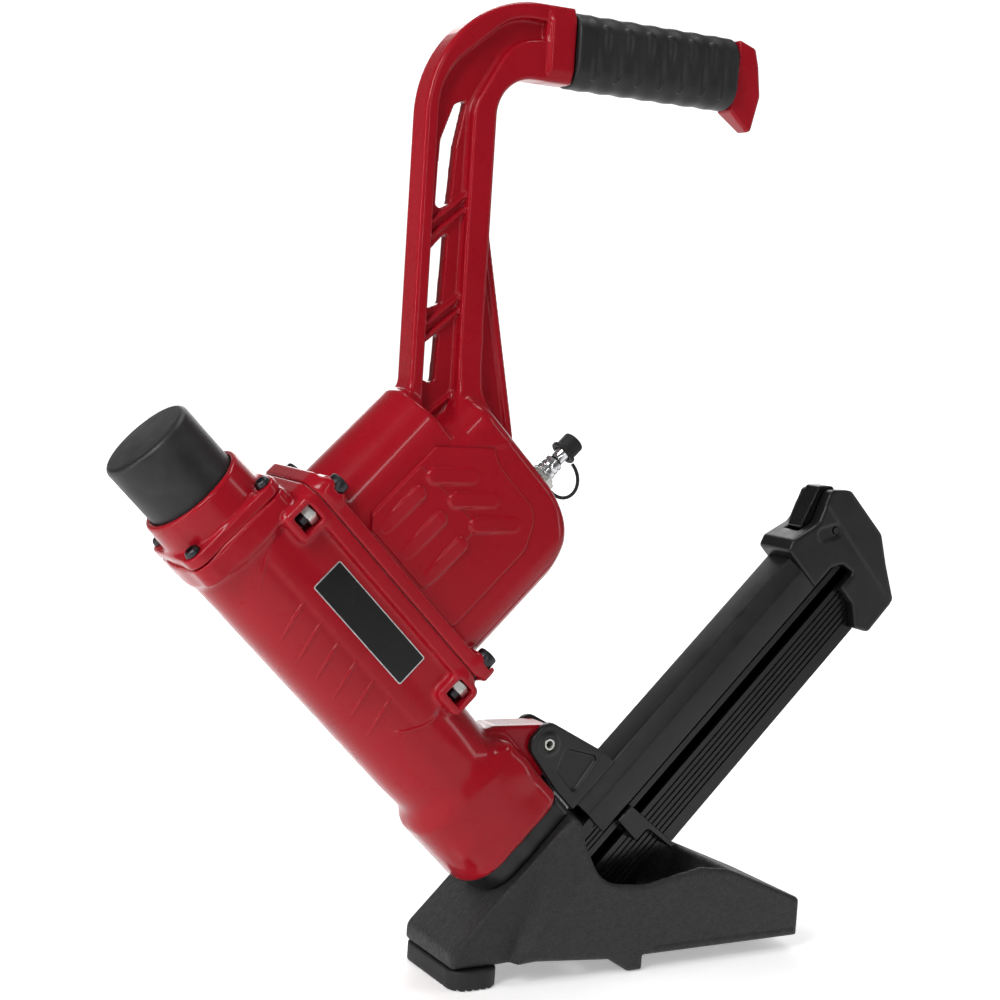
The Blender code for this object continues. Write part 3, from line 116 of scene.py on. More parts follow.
class Nodes:
    """A Principled material with a few helpers for its node tree."""

    def __init__(self, name, color, roughness, metallic=0.0, coat=0.0, coat_roughness=0.1,
                 specular=0.5):
        self.material = bpy.data.materials.new(name)
        self.material.use_nodes = True
        self.tree = self.material.node_tree
        self.shader = self.tree.nodes["Principled BSDF"]
        self.set("Base Color", (*color, 1))
        self.set("Roughness", roughness)
        self.set("Metallic", metallic)
        self.set("Coat Weight", coat)
        self.set("Coat Roughness", coat_roughness)
        self.set("Coat IOR", 1.36)
        self.set("Specular IOR Level", specular)
        self.coords = self.tree.nodes.new("ShaderNodeTexCoord").outputs["Object"]
        self.height = None

    def set(self, socket, value):
        self.shader.inputs[socket].default_value = value

    def noise(self, scale, detail=4.0, roughness=0.55, stretch=(1, 1, 1)):
        mapping = self.tree.nodes.new("ShaderNodeMapping")
        mapping.inputs["Scale"].default_value = stretch
        self.tree.links.new(self.coords, mapping.inputs["Vector"])
        node = self.tree.nodes.new("ShaderNodeTexNoise")
        node.inputs["Scale"].default_value = scale
        node.inputs["Detail"].default_value = detail
        node.inputs["Roughness"].default_value = roughness
        self.tree.links.new(mapping.outputs["Vector"], node.inputs["Vector"])
        return node.outputs["Fac"]

    def spread(self, value, low, high, to_low, to_high):
        node = self.tree.nodes.new("ShaderNodeMapRange")
        for socket, number in zip(("From Min", "From Max", "To Min", "To Max"),
                                  (low, high, to_low, to_high)):
            node.inputs[socket].default_value = number
        self.tree.links.new(value, node.inputs["Value"])
        return node.outputs["Result"]

    def tint(self, value, dark, light):
        node = self.tree.nodes.new("ShaderNodeMix")
        node.data_type = "RGBA"
        node.inputs["A"].default_value = (*dark, 1)
        node.inputs["B"].default_value = (*light, 1)
        self.tree.links.new(value, node.inputs["Factor"])
        self.tree.links.new(node.outputs["Result"], self.shader.inputs["Base Color"])

    def vary_roughness(self, value, low, high):
        self.tree.links.new(self.spread(value, 0.3, 0.7, low, high), self.shader.inputs["Roughness"])

    def bump(self, value, strength, distance):
        node = self.tree.nodes.new("ShaderNodeBump")
        node.inputs["Strength"].default_value = strength
        node.inputs["Distance"].default_value = distance
        self.tree.links.new(value, node.inputs["Height"])
        if self.height:
            self.tree.links.new(self.height, node.inputs["Normal"])
        self.height = node.outputs["Normal"]
        self.tree.links.new(self.height, self.shader.inputs["Normal"])


def red_enamel():
    m = Nodes("red_enamel", (0.30, 0.005, 0.012), 0.30, coat=0.55, coat_roughness=0.06, specular=0.08)
    m.tint(m.spread(m.noise(9, 3), 0.3, 0.7, 0, 1), (0.28, 0.004, 0.010), (0.33, 0.005, 0.014))
    m.vary_roughness(m.noise(60, 4), 0.24, 0.36)
    m.bump(m.noise(750, 2), 0.10, 0.0001)
    m.bump(m.noise(110, 1), 0.05, 0.0004)
    return m.material


def cast_black():
    m = Nodes("cast_black", (0.012, 0.012, 0.013), 0.50, specular=0.4)
    m.tint(m.spread(m.noise(600, 3), 0.35, 0.7, 0, 1), (0.007, 0.007, 0.0075), (0.022, 0.022, 0.024))
    m.vary_roughness(m.noise(300, 4), 0.38, 0.62)
    m.bump(m.noise(520, 4, 0.7), 1.0, 0.0010)
    m.bump(m.noise(120, 3), 0.12, 0.0008)
    return m.material


def satin_black(name="satin_black", tone=0.007, roughness=0.34, grain=500.0):
    m = Nodes(name, (tone, tone, tone * 1.08), roughness, specular=0.4)
    m.tint(m.spread(m.noise(35, 4), 0.3, 0.7, 0, 1), (tone * 0.8,) * 3,
           (tone * 1.35, tone * 1.35, tone * 1.45))
    m.vary_roughness(m.noise(90, 5), roughness - 0.06, roughness + 0.08)
    m.bump(m.noise(grain, 3), 0.12, 0.0003)
    return m.material


def rubber(name="rubber", tone=0.010, roughness=0.58):
    m = Nodes(name, (tone, tone, tone), roughness, specular=0.35)
    m.tint(m.spread(m.noise(28, 5), 0.3, 0.72, 0, 1), (tone * 0.75,) * 3,
           (tone * 1.4, tone * 1.4, tone * 1.42))
    m.vary_roughness(m.noise(55, 5), roughness - 0.08, roughness + 0.12)
    m.bump(m.noise(650, 4, 0.65), 0.28, 0.0004)
    return m.material


def strike_rubber():
    """The cap's rubber, scuffed pale by the mallet."""
    m = Nodes("strike_rubber", (0.012, 0.012, 0.013), 0.45, specular=0.4)
    m.tint(m.spread(m.noise(38, 8, 0.62), 0.46, 0.74, 0, 1), (0.009, 0.009, 0.010),
           (0.022, 0.022, 0.023))
    m.vary_roughness(m.noise(45, 5), 0.36, 0.52)
    m.bump(m.noise(420, 5, 0.65), 0.28, 0.0005)
    m.bump(m.noise(60, 3), 0.10, 0.0008)
    return m.material


def bare_metal(name, color, roughness, stretch=(1, 1, 1), scale=240.0):
    m = Nodes(name, color, roughness, metallic=1.0)
    grain = m.noise(scale, 5, 0.6, stretch)
    m.tint(m.spread(grain, 0.3, 0.7, 0, 1), tuple(c * 0.82 for c in color),
           tuple(min(1, c * 1.1) for c in color))
    m.vary_roughness(grain, roughness - 0.06, roughness + 0.10)
    m.bump(grain, 0.08, 0.0002)
    return m.material


def soft_part(name, color, roughness):
    m = Nodes(name, color, roughness)
    m.tint(m.spread(m.noise(60, 4), 0.3, 0.7, 0, 1), tuple(c * 0.8 for c in color),
           tuple(c * 1.2 for c in color))
    m.vary_roughness(m.noise(90, 4), roughness - 0.08, roughness + 0.08)
    m.bump(m.noise(500, 4), 0.2, 0.0004)
    return m.material


RED = red_enamel()
CAST = cast_black()
SATIN = satin_black()
GLOSS = satin_black("gloss_black", 0.004, 0.20, 300.0)
PLATE = satin_black("plate_black", 0.001, 0.22, 120.0)
PLASTIC = satin_black("moulded_black", 0.004, 0.36, 900.0)
RUBBER = rubber()
GRIP_RUBBER = rubber("grip_rubber", 0.011, 0.46)
CAP_RUBBER = strike_rubber()
BLACK_OXIDE = bare_metal("black_oxide", (0.055, 0.055, 0.060), 0.36)
STEEL = bare_metal("ground_steel", (0.46, 0.46, 0.48), 0.30, (1, 12, 1))
ZINC = bare_metal("zinc_plate", (0.66, 0.66, 0.63), 0.30, scale=90.0)
CHROME = bare_metal("bright_nickel", (0.74, 0.74, 0.76), 0.14)
SPRING_STEEL = bare_metal("spring_steel", (0.40, 0.40, 0.43), 0.28)
BRIGHT_ALLOY = bare_metal("machined_alloy", (0.70, 0.71, 0.72), 0.28, (1, 8, 1))
URETHANE = soft_part("urethane", (0.30, 0.16, 0.05), 0.45)
GASKET = soft_part("gasket_sheet", (0.075, 0.065, 0.055), 0.85)


# ---------------------------------------------------------------- outlines

def rounded(corners, steps=8):
    """An outline from corners (a, b, radius), each turned into an arc of that radius."""
    outline = []
    for index, (a, b, radius) in enumerate(corners):
        here = Vector((a, b))
        if not radius:
            outline.append((a, b))
            continue
        back = (Vector(corners[index - 1][:2]) - here).normalized()
        ahead = (Vector(corners[(index + 1) % len(corners)][:2]) - here).normalized()
        half = back.angle(ahead) / 2
        centre = here + (back + ahead).normalized() * radius / math.sin(half)
        start = here + back * radius / math.tan(half) - centre
        end = here + ahead * radius / math.tan(half) - centre
        first = math.atan2(start.y, start.x)
        sweep = (math.atan2(end.y, end.x) - first + math.pi) % (2 * math.pi) - math.pi
        for step in range(steps + 1):
            angle = first + sweep * step / steps
            outline.append((centre.x + radius * math.cos(angle), centre.y + radius * math.sin(angle)))
    return outline


def rectangle(low_a, high_a, low_b, high_b, radius=0.0, steps=8):
    return rounded([(low_a, low_b, radius), (high_a, low_b, radius),
                    (high_a, high_b, radius), (low_a, high_b, radius)], steps)


def circle(radius, sides=48, centre=(0, 0)):
    return [(centre[0] + radius * math.cos(2 * math.pi * k / sides),
             centre[1] + radius * math.sin(2 * math.pi * k / sides)) for k in range(sides)]


def hexagon(flats, centre=(0, 0)):
    reach = flats / math.sqrt(3)
    return [(centre[0] + reach * math.cos(math.radians(60 * k + 30)),
             centre[1] + reach * math.sin(math.radians(60 * k + 30))) for k in range(6)]


# ---------------------------------------------------------------- distance fields

class Grid:
    """Floor-frame sample points, with the drive frame's u and v, shaped to broadcast."""

    def __init__(self, low, high, cell=CELL):
        self.axes = [np.arange(a - 2 * cell, b + 3 * cell, cell) for a, b in zip(low, high)]
        self.cell = cell
        self.x = self.axes[0][:, None, None]
        self.y = self.axes[1][None, :, None]
        self.z = self.axes[2][None, None, :]
        self.v = (self.x + self.z - DRIVE_FOOT_X) * S
        self.u = DRIVE_LENGTH + (self.x - DRIVE_FOOT_X - self.z) * S
        self.side = np.abs(self.y)


def outline_distance(a, b, points):
    """Signed distance to an outline, negative inside."""
    a, b = np.broadcast_arrays(a, b)
    nearest = np.full(a.shape, 1e12)
    inside = np.zeros(a.shape, bool)
    for (pa, pb), (qa, qb) in zip(points, points[1:] + points[:1]):
        ea, eb = qa - pa, qb - pb
        wa, wb = a - pa, b - pb
        share = np.clip((wa * ea + wb * eb) / (ea * ea + eb * eb + 1e-12), 0, 1)
        nearest = np.minimum(nearest, (wa - ea * share) ** 2 + (wb - eb * share) ** 2)
        if pb != qb:
            inside ^= ((pb <= b) != (qb <= b)) & (a < pa + (b - pb) * ea / eb)
    return np.where(inside, -1, 1) * np.sqrt(nearest)


def box_distance(a, b, low_a, high_a, low_b, high_b, radius):
    qa = np.abs(a - (low_a + high_a) / 2) - (high_a - low_a) / 2 + radius
    qb = np.abs(b - (low_b + high_b) / 2) - (high_b - low_b) / 2 + radius
    return np.minimum(np.maximum(qa, qb), 0) + np.hypot(np.maximum(qa, 0), np.maximum(qb, 0)) - radius


def slab(depth, low, high):
    return np.maximum(low - depth, depth - high)


def swept(flat, depth, edge=0.0):
    """An outline's distance and a slab's, met with a rounded edge."""
    a, b = flat + edge, depth + edge
    return np.minimum(np.maximum(a, b), 0) + np.hypot(np.maximum(a, 0), np.maximum(b, 0)) - edge


def pill(a, b, start, end, radius):
    ea, eb = end[0] - start[0], end[1] - start[1]
    wa, wb = a - start[0], b - start[1]
    share = np.clip((wa * ea + wb * eb) / (ea * ea + eb * eb), 0, 1)
    return np.hypot(wa - ea * share, wb - eb * share) - radius, share


def join(one, other, blend=0.0):
    if not blend:
        return np.minimum(one, other)
    share = np.clip(0.5 + 0.5 * (other - one) / blend, 0, 1)
    return other + (one - other) * share - blend * share * (1 - share)


def carve(one, other, blend=0.0):
    return -join(-one, other, blend)


def surface(name, field, grid):
    """A mesh of the field's zero surface, by naive surface nets."""
    inside = field < 0
    size = inside.shape
    span = [slice(0, -1), slice(1, None)]
    corners = [(i, j, k) for i in (0, 1) for j in (0, 1) for k in (0, 1)]
    total = sum(inside[span[i], span[j], span[k]].astype(np.int8) for i, j, k in corners)
    active = (total > 0) & (total < 8)
    cells = np.argwhere(active)
    index = np.full(active.shape, -1, np.int64)
    index[active] = np.arange(len(cells))
    values = {c: field[cells[:, 0] + c[0], cells[:, 1] + c[1], cells[:, 2] + c[2]] for c in corners}
    place = np.zeros((len(cells), 3))
    count = np.zeros(len(cells))
    for c in corners:
        for axis in range(3):
            if c[axis]:
                continue
            d = tuple(1 if k == axis else c[k] for k in range(3))
            one, other = values[c], values[d]
            crossing = (one < 0) != (other < 0)
            share = np.where(crossing, one / np.where(crossing, one - other, 1), 0)
            point = np.array(c, float)[None, :].repeat(len(cells), 0)
            point[:, axis] = share
            place[crossing] += point[crossing]
            count += crossing
    place = cells + place / count[:, None]
    low = np.array([axis[0] for axis in grid.axes])
    points = low + place * grid.cell
    points[:, 0] -= MIDDLE_X
    quads = []
    for axis in range(3):
        one, two = (axis + 1) % 3, (axis + 2) % 3
        here = [slice(None)] * 3
        ahead = [slice(None)] * 3
        here[axis], ahead[axis] = span
        change = inside[tuple(here)] != inside[tuple(ahead)]
        edges = np.argwhere(change)
        keep = ((edges[:, one] > 0) & (edges[:, two] > 0) & (edges[:, one] < size[one] - 1)
                & (edges[:, two] < size[two] - 1))
        edges = edges[keep]
        ring = []
        for step_one, step_two in ((-1, -1), (0, -1), (0, 0), (-1, 0)):
            cell = edges.copy()
            cell[:, one] += step_one
            cell[:, two] += step_two
            ring.append(index[cell[:, 0], cell[:, 1], cell[:, 2]])
        ring = np.stack(ring, 1)
        flip = ~inside[edges[:, 0], edges[:, 1], edges[:, 2]]
        ring[flip] = ring[flip][:, ::-1]
        quads.append(ring)
    quads = np.concatenate(quads)
    mesh = bpy.data.meshes.new(name)
    mesh.vertices.add(len(points))
    mesh.vertices.foreach_set("co", (points * MM).astype(np.float32).ravel())
    mesh.loops.add(quads.size)
    mesh.loops.foreach_set("vertex_index", quads.astype(np.int32).ravel())
    mesh.polygons.add(len(quads))
    mesh.polygons.foreach_set("loop_start", np.arange(0, quads.size, 4, dtype=np.int32))
    mesh.update(calc_edges=True)
    mesh.shade_smooth()
    return mesh


# ---------------------------------------------------------------- objects

def add(name, mesh, material, body, *nodes):
    """Put a piece on a body, standing for the CAD nodes it replaces."""
    obj = bpy.data.objects.new(name, mesh)
    bpy.context.scene.collection.objects.link(obj)
    obj.data.materials.clear()
    obj.data.materials.append(material)
    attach(obj, body)
    if nodes:
        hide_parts(*nodes)
    return obj


def build(name, points, faces, sharp=38):
    mesh = bpy.data.meshes.new(name)
    mesh.from_pydata([metres(p) for p in points], [], faces)
    mesh.update()
    mesh.shade_smooth()
    mesh.set_sharp_from_angle(angle=math.radians(sharp))
    return mesh


def turned(name, profile, place, sides=96, sharp=38):
    """A turned solid from a closed profile of (radius, depth)."""
    points, rings, faces = [], [], []
    for radius, depth in profile:
        if radius == 0:
            rings.append([len(points)] * sides)
            points.append(place(0, 0, depth))
        else:
            rings.append(list(range(len(points), len(points) + sides)))
            points += [place(a, b, depth) for a, b in circle(radius, sides)]
    closed = profile[0][0] > 0
    for one, other in list(zip(rings, rings[1:])) + ([(rings[-1], rings[0])] if closed else []):
        for k in range(sides):
            face = list(dict.fromkeys((one[k], one[(k + 1) % sides], other[(k + 1) % sides], other[k])))
            if len(face) > 2:
                faces.append(face)
    return recalculated(build(name, points, faces, sharp))


def loft(name, rings, sharp=38):
    count = len(rings[0])
    points = [point for ring in rings for point in ring]
    faces = [[r * count + k, r * count + (k + 1) % count, (r + 1) * count + (k + 1) % count,
              (r + 1) * count + k]
             for r in range(len(rings) - 1) for k in range(count)]
    faces += [list(range(count)), list(range(count * (len(rings) - 1), count * len(rings)))]
    return recalculated(build(name, points, faces, sharp))


def prism(name, outline, low, high, place):
    """A straight solid with the outline's section."""
    return loft(name, [[place(a, b, depth) for a, b in outline] for depth in (low, high)])


def recalculated(mesh):
    """The mesh with its faces pointing out."""
    bm = bmesh.new()
    bm.from_mesh(mesh)
    bmesh.ops.recalc_face_normals(bm, faces=bm.faces)
    bm.to_mesh(mesh)
    bm.free()
    return mesh


def soften(obj, width, segments=3):
    modifier = obj.modifiers.new("soft_edges", "BEVEL")
    modifier.width = width * MM
    modifier.segments = segments
    modifier.limit_method = "ANGLE"
    modifier.angle_limit = math.radians(40)
    modifier.harden_normals = False


def arc_profile(radius_low, radius_high, depth_low, depth_high, steps=6):
    """Quarter-round points from (radius_low, depth_low) out to (radius_high, depth_high)."""
    points = []
    for step in range(steps + 1):
        angle = math.pi / 2 * step / steps
        points.append((radius_low + (radius_high - radius_low) * math.sin(angle),
                       depth_high + (depth_low - depth_high) * math.cos(angle)))
    return points


def tube(name, path, radius, sides=10):
    """A round tube along a path, with flat ends."""
    path = [Vector(p) for p in path]
    rings = []
    normal = Vector((0, 1, 0))
    for k, point in enumerate(path):
        ahead = (path[min(k + 1, len(path) - 1)] - path[max(k - 1, 0)]).normalized()
        normal = (normal - ahead * normal.dot(ahead)).normalized()
        across = ahead.cross(normal)
        rings.append([tuple(point + normal * a + across * b) for a, b in circle(radius, sides)])
    return loft(name, rings, 60)


def bending(name, mesh, material, node):
    """A piece for a part that bends or stretches between two bodies; it is set in place in the scene,
    on no body, and the CAD node it replaces is hidden.
    """
    obj = bpy.data.objects.new(name, mesh)
    bpy.context.scene.collection.objects.link(obj)
    obj.data.materials.append(material)
    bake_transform(obj)
    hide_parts(node)


# ---------------------------------------------------------------- red castings

POST_FRONT_X, POST_REAR_X, POST_HALF = -41.8, 8.0, 10.5
ARM_TOP_Z, ARM_BOTTOM_Z, ARM_END_X = 629.0, 581.0, 60.0
WEB_FRONT_X, WEB_REAR_X, WEB_HALF = -33.0, -9.0, 4.0
SEAM_LOW_V = 47.7
BOLTS_U = (93.1, 246.6)
BOLT_HALF = 34.0
SLOT_RIB_LEAN = 0.68           # slope of the ribs between the post's slots, in radians
FLANK_RIB = 1.7
INLET_U = 203.6
COLLAR_SCREW = 28.8            # each collar screw from the axis, in v and in y
BRACKET_PIN_V, BRACKET_PIN_U = 61.3, 335.3
LATCH_PIN_V, LATCH_PIN_U = 322.5, 394.5


def side_panel():
    return rounded([(122, 58, 3), (122, 136, 10), (135, 161, 5), (148, 157, 18), (160, 149.5, 22),
                    (204, 149.5, 16), (216, 128, 16), (216, 58, 4)])


def lower_panel():
    return rounded([(123.5, 60, 2), (123.5, 109.6, 2), (180, 113, 9), (183, 60, 3)])


def slot_rib(g, height, start, depth):
    """A slanted rib across the post's recess, from start to the recess's rear."""
    rise = (g.z - height) * math.cos(SLOT_RIB_LEAN) - (g.x - WEB_FRONT_X) * math.sin(SLOT_RIB_LEAN)
    across = slab(g.x, start, WEB_REAR_X + 3)
    return np.maximum(np.maximum(slab(rise, -1.3, 1.3), across), g.side - depth)


def handle_housing_field(g):
    flange = swept(box_distance(g.u, g.y, 78, 255, -41, 41, 14), slab(g.v, SEAM_LOW_V, 56.8), 1.0)
    front = swept(box_distance(g.u, g.y, 87.5, 200, -31.6, 31.6, 30.5), slab(g.v, 49.5, 138), 3.5)
    rear = swept(box_distance(g.u, g.y, 119.5, 247, -32, 32, 20), slab(g.v, 49.5, 170), 9)
    corner = outline_distance(g.v, g.u, [(176, 209), (156, 238), (143, 251), (176, 260)])
    rear = carve(rear, corner, 14)
    chamber = join(front, rear, 2.0)
    body = join(chamber, flange, 3.5)
    for bolt_u in BOLTS_U:
        boss = swept(box_distance(g.u, g.side, bolt_u - 10, bolt_u + 10, 20, 41, 6),
                     slab(g.v, 50, 60.5), 2)
        body = join(body, boss, 3)

    post = swept(outline_distance(g.x, g.z, frame_outline()), g.side - POST_HALF, 2.6)
    body = join(body, post, 11.0)
    # the post's flank runs out to the chamber's side
    flare = np.clip((404 - g.z) / 50, 0, 1)
    half = POST_HALF + 21.0 * flare * flare
    foot = outline_distance(g.x, g.z,
                            rounded([(-24, 345, 2), (-9, 384, 26), (-9, 420, 0), (POST_REAR_X, 420, 0),
                                               (POST_REAR_X, 380, 30), (22, 350, 2)]))
    body = join(body, swept(foot, g.side - half, 2.4), 2.0)

    fin = outline_distance(g.x, g.z,
                           [(POST_REAR_X - 4, 490), (POST_REAR_X - 4, 345), (38, 330), (39, 346),
                                      (POST_REAR_X + 1.2, 490)])
    body = join(body, swept(fin, g.side - 2.2, 0.8), 2.0)
    rim = np.maximum(fin, -fin - 5.0)
    body = join(body, swept(rim, g.side - 3.8, 1.0), 0.8)

    recess = rounded([(WEB_FRONT_X, 371, 3), (-25, 361, 3), (-15, 366, 8), (WEB_REAR_X, 384, 14),
                      (WEB_REAR_X, 560, 26), (16, 603, 30), (43, 607, 4), (43, 618, 4), (16, 619, 36),
                      (WEB_FRONT_X, 578, 46)])
    body = carve(body, swept(outline_distance(g.x, g.z, recess), WEB_HALF - g.side, 2.6), 1.6)

    for height in (414, 423, 477, 486):
        body = join(body, slot_rib(g, height, WEB_FRONT_X - 3, 7.2), 1.2)
    for height in (352, 362):
        body = join(body, np.maximum(slot_rib(g, height, WEB_FRONT_X + 2, 6.6), 138 - g.v), 1.2)

    for slot in ([(-31.2, 389, 2), (-23, 386, 3), (-21.6, 419, 1.2), (-31, 411, 1.2)],
                 [(-31, 433, 1.5), (-21, 437, 3), (-19.6, 482, 1.2), (-30.2, 470, 1.2)],
                 [(-28.8, 494, 3), (-19, 499, 3), (-17, 534, 20), (-11.2, 564, 1.5), (-19.5, 560, 3),
                  (-27.8, 537, 14)]):
        body = carve(body, outline_distance(g.x, g.z, rounded(slot)), 0.8)

    core = swept(box_distance(g.z, g.y, ARM_BOTTOM_Z + 5.6, ARM_TOP_Z - 5.6, -9.9, 9.9, 5),
                 slab(g.x, 40, 185.6))
    shoulder = swept(box_distance(g.z, g.y, ARM_BOTTOM_Z + 0.5, ARM_TOP_Z - 0.5, -13, 13, 10),
                     slab(g.x, 42, ARM_END_X), 1.5)
    body = join(join(body, shoulder, 3.0), core)
    for bolt_u in BOLTS_U:
        hole = np.hypot(g.u - bolt_u, g.side - BOLT_HALF)
        body = carve(body, np.maximum(hole - 4.4, g.v - 66))
        body = carve(body, np.maximum(hole - 7.4, slab(g.v, 57.1, 72)), 0.6)
    inlet = np.maximum(np.hypot(g.u - INLET_U, g.y) - 7.0, slab(g.v, 150, 178))
    return np.maximum(carve(body, inlet), g.z - (ARM_TOP_Z - 0.1))


def relief_field(g):
    """The raised panels and bars on one side of the chamber."""
    panel = swept(outline_distance(g.u, g.v, side_panel()), g.side - 33.1, 0.9)
    high = swept(outline_distance(g.u, g.v, lower_panel()), g.side - 33.9, 0.6)
    body = join(panel, high, 0.5)
    for u, v in ((143.9, 121.4), (165.5, 122.2), (187.9, 122.5)):
        flat, share = pill(g.u, g.v, (u - 9.5, v - 9.5), (u + 9.5, v + 9.5), 5.2)
        body = join(body, swept(flat, g.side - (35.3 - 2.2 * share), 1.5), 1.0)
    for u in (135, 157.3, 179.6):
        flat, share = pill(g.u, g.v, (u, 68), (u, 97), 4.8)
        body = join(body, swept(flat, g.side - (33.7 + 1.9 * share), 1.4), 0.9)
    return np.maximum(body, 30.6 - g.side)


def frame_outline():
    return rounded([(POST_FRONT_X, 350, 0), (POST_REAR_X + 8, 350, 0), (POST_REAR_X, 399, 30),
                    (POST_REAR_X, ARM_BOTTOM_Z, 25), (ARM_END_X, ARM_BOTTOM_Z, 0),
                    (ARM_END_X, ARM_TOP_Z, 0),
                    (POST_FRONT_X, ARM_TOP_Z, 77)], 24)


def barrel_field(g):
    tube = box_distance(g.v, g.y, -36.8, 37.6, -34, 34, 33)
    head = swept(box_distance(g.v, g.y, -36.5, 36.5, -36.5, 36.5, 11), slab(g.u, 70.3, 84), 1.0)
    fall = np.clip((g.u - 268) / 70, 0, 1)
    tube_end = tube + 3.0 * fall * fall * (3 - 2 * fall)
    body = join(head, np.maximum(tube_end, slab(g.u, 72, 352)), 9.0)
    nose = join(box_distance(g.v, g.y, -40.5, 22, -31, 31, 26),
                box_distance(g.v, g.y, -6, 41, -31, 31, 10), 3)
    body = join(body, swept(nose, slab(g.u, 306, 360), 4.5), 16.0)
    pads = swept(box_distance(g.u, g.v, 90, 247, 1, 44, 9), g.side - 33.7, 1.0)
    body = join(body, pads, 3.0)
    flange = swept(box_distance(g.u, g.y, 78, 255, -41, 41, 14), slab(g.v, 38.2, 47.4), 1.0)
    body = join(body, flange, 3.0)
    for bolt_u in BOLTS_U:
        boss = swept(box_distance(g.u, g.v, bolt_u - 11, bolt_u + 11, 21, 44, 5), g.side - 41, 3.0)
        body = join(body, boss, 3.5)
    lug = rounded([(28, 292, 0), (43, 298.5, 5), (71.3, 328, 7), (71.3, 345.3, 8), (28, 353, 0)])
    body = join(body, swept(outline_distance(g.v, g.u, lug), g.side - 11.5, 1.5), 5.0)
    for dimple_u, dimple_v in ((336, -20), (325, 28)):
        dimple = np.sqrt(((g.u - dimple_u) / 2) ** 2 + ((g.v - dimple_v) / 2) ** 2
                         + (g.side - 27.0) ** 2) - 5.2
        body = join(body, dimple, 5.0)
    for bolt_u in BOLTS_U:
        pocket = swept(box_distance(g.u, g.v, bolt_u - 6.6, bolt_u + 6.6, 26.3, 39.7, 0.8),
                       26.8 - g.side)
        body = carve(body, pocket, 0.8)
        hole = np.hypot(g.u - bolt_u, g.side - BOLT_HALF) - 4.3
        body = carve(body, np.maximum(hole, 30 - g.v))
    bore = np.hypot(g.v, g.y)
    body = carve(body, np.maximum(bore - 29, g.u - 262))
    body = carve(body, np.maximum(bore - 20, g.u - 370))
    window = swept(box_distance(g.u, g.y, 116.3, 227, -17, 17, 8), slab(g.v, 15, 60))
    body = carve(body, window)
    return carve(body, np.hypot(g.v - BRACKET_PIN_V, g.u - BRACKET_PIN_U) - 4.2)


def barrel_skin(v):
    """Half width of the barrel's flank at v."""
    reach = max(-3.8 - v, v - 4.6, 0)
    return 1 + math.sqrt(33 ** 2 - reach ** 2)


def flank_ridge(points, radius):
    """A rib along points (u, v) of the near flank, sinking in at both ends."""
    count = len(points) - 1
    path = []
    for k, (u, v) in enumerate(points):
        sink = 1.1 * (1 - math.sin(math.pi * k / count)) ** 1.5
        path.append(from_drive(v, u, -(barrel_skin(v) - radius + 0.75 - sink)))
    return path


def make_flank_ribs():
    lines = []
    for k in range(6):
        upper = 131 + 17.3 * k
        lines.append([(upper + 0.012 * (v - 4) ** 2, v) for v in (4 - 1.6 * n for n in range(19))])
    for start, way in ((88, 1), (251, -1)):
        lines.append([(start + way * (1.5 + 0.016 * (17 - v) ** 2),
                       v) for v in (17 - 2 * n for n in range(18))])
    for number, line in enumerate(lines, 1):
        for side, word in ((-1, "far"), (1, "near")):
            path = [(x, side * y, z) for x, y, z in flank_ridge(line, FLANK_RIB)]
            name = f"flank_rib_{number}_{word}"
            add(name, tube(name, path, FLANK_RIB, 14), RED, "tool")


def make_castings():
    g = Grid((-125, -42, 195), (190, 42, 630), 0.95)
    add("handle_housing_cast", surface("handle_housing_cast", handle_housing_field(g), g), RED, "tool",
        "handle_housing")
    for name, low, high in (("near", -36, -30), ("far", 30, 36)):
        g = Grid((-73, low, 194), (98, high, 348), 0.55)
        add(f"chamber_relief_{name}", surface(f"chamber_relief_{name}", relief_field(g), g), RED,
            "tool")
    g = Grid((-186, -42, 64), (87, 42, 328))
    add("barrel_cast", surface("barrel_cast", barrel_field(g), g), RED, "tool", "barrel_housing")


# ---------------------------------------------------------------- base

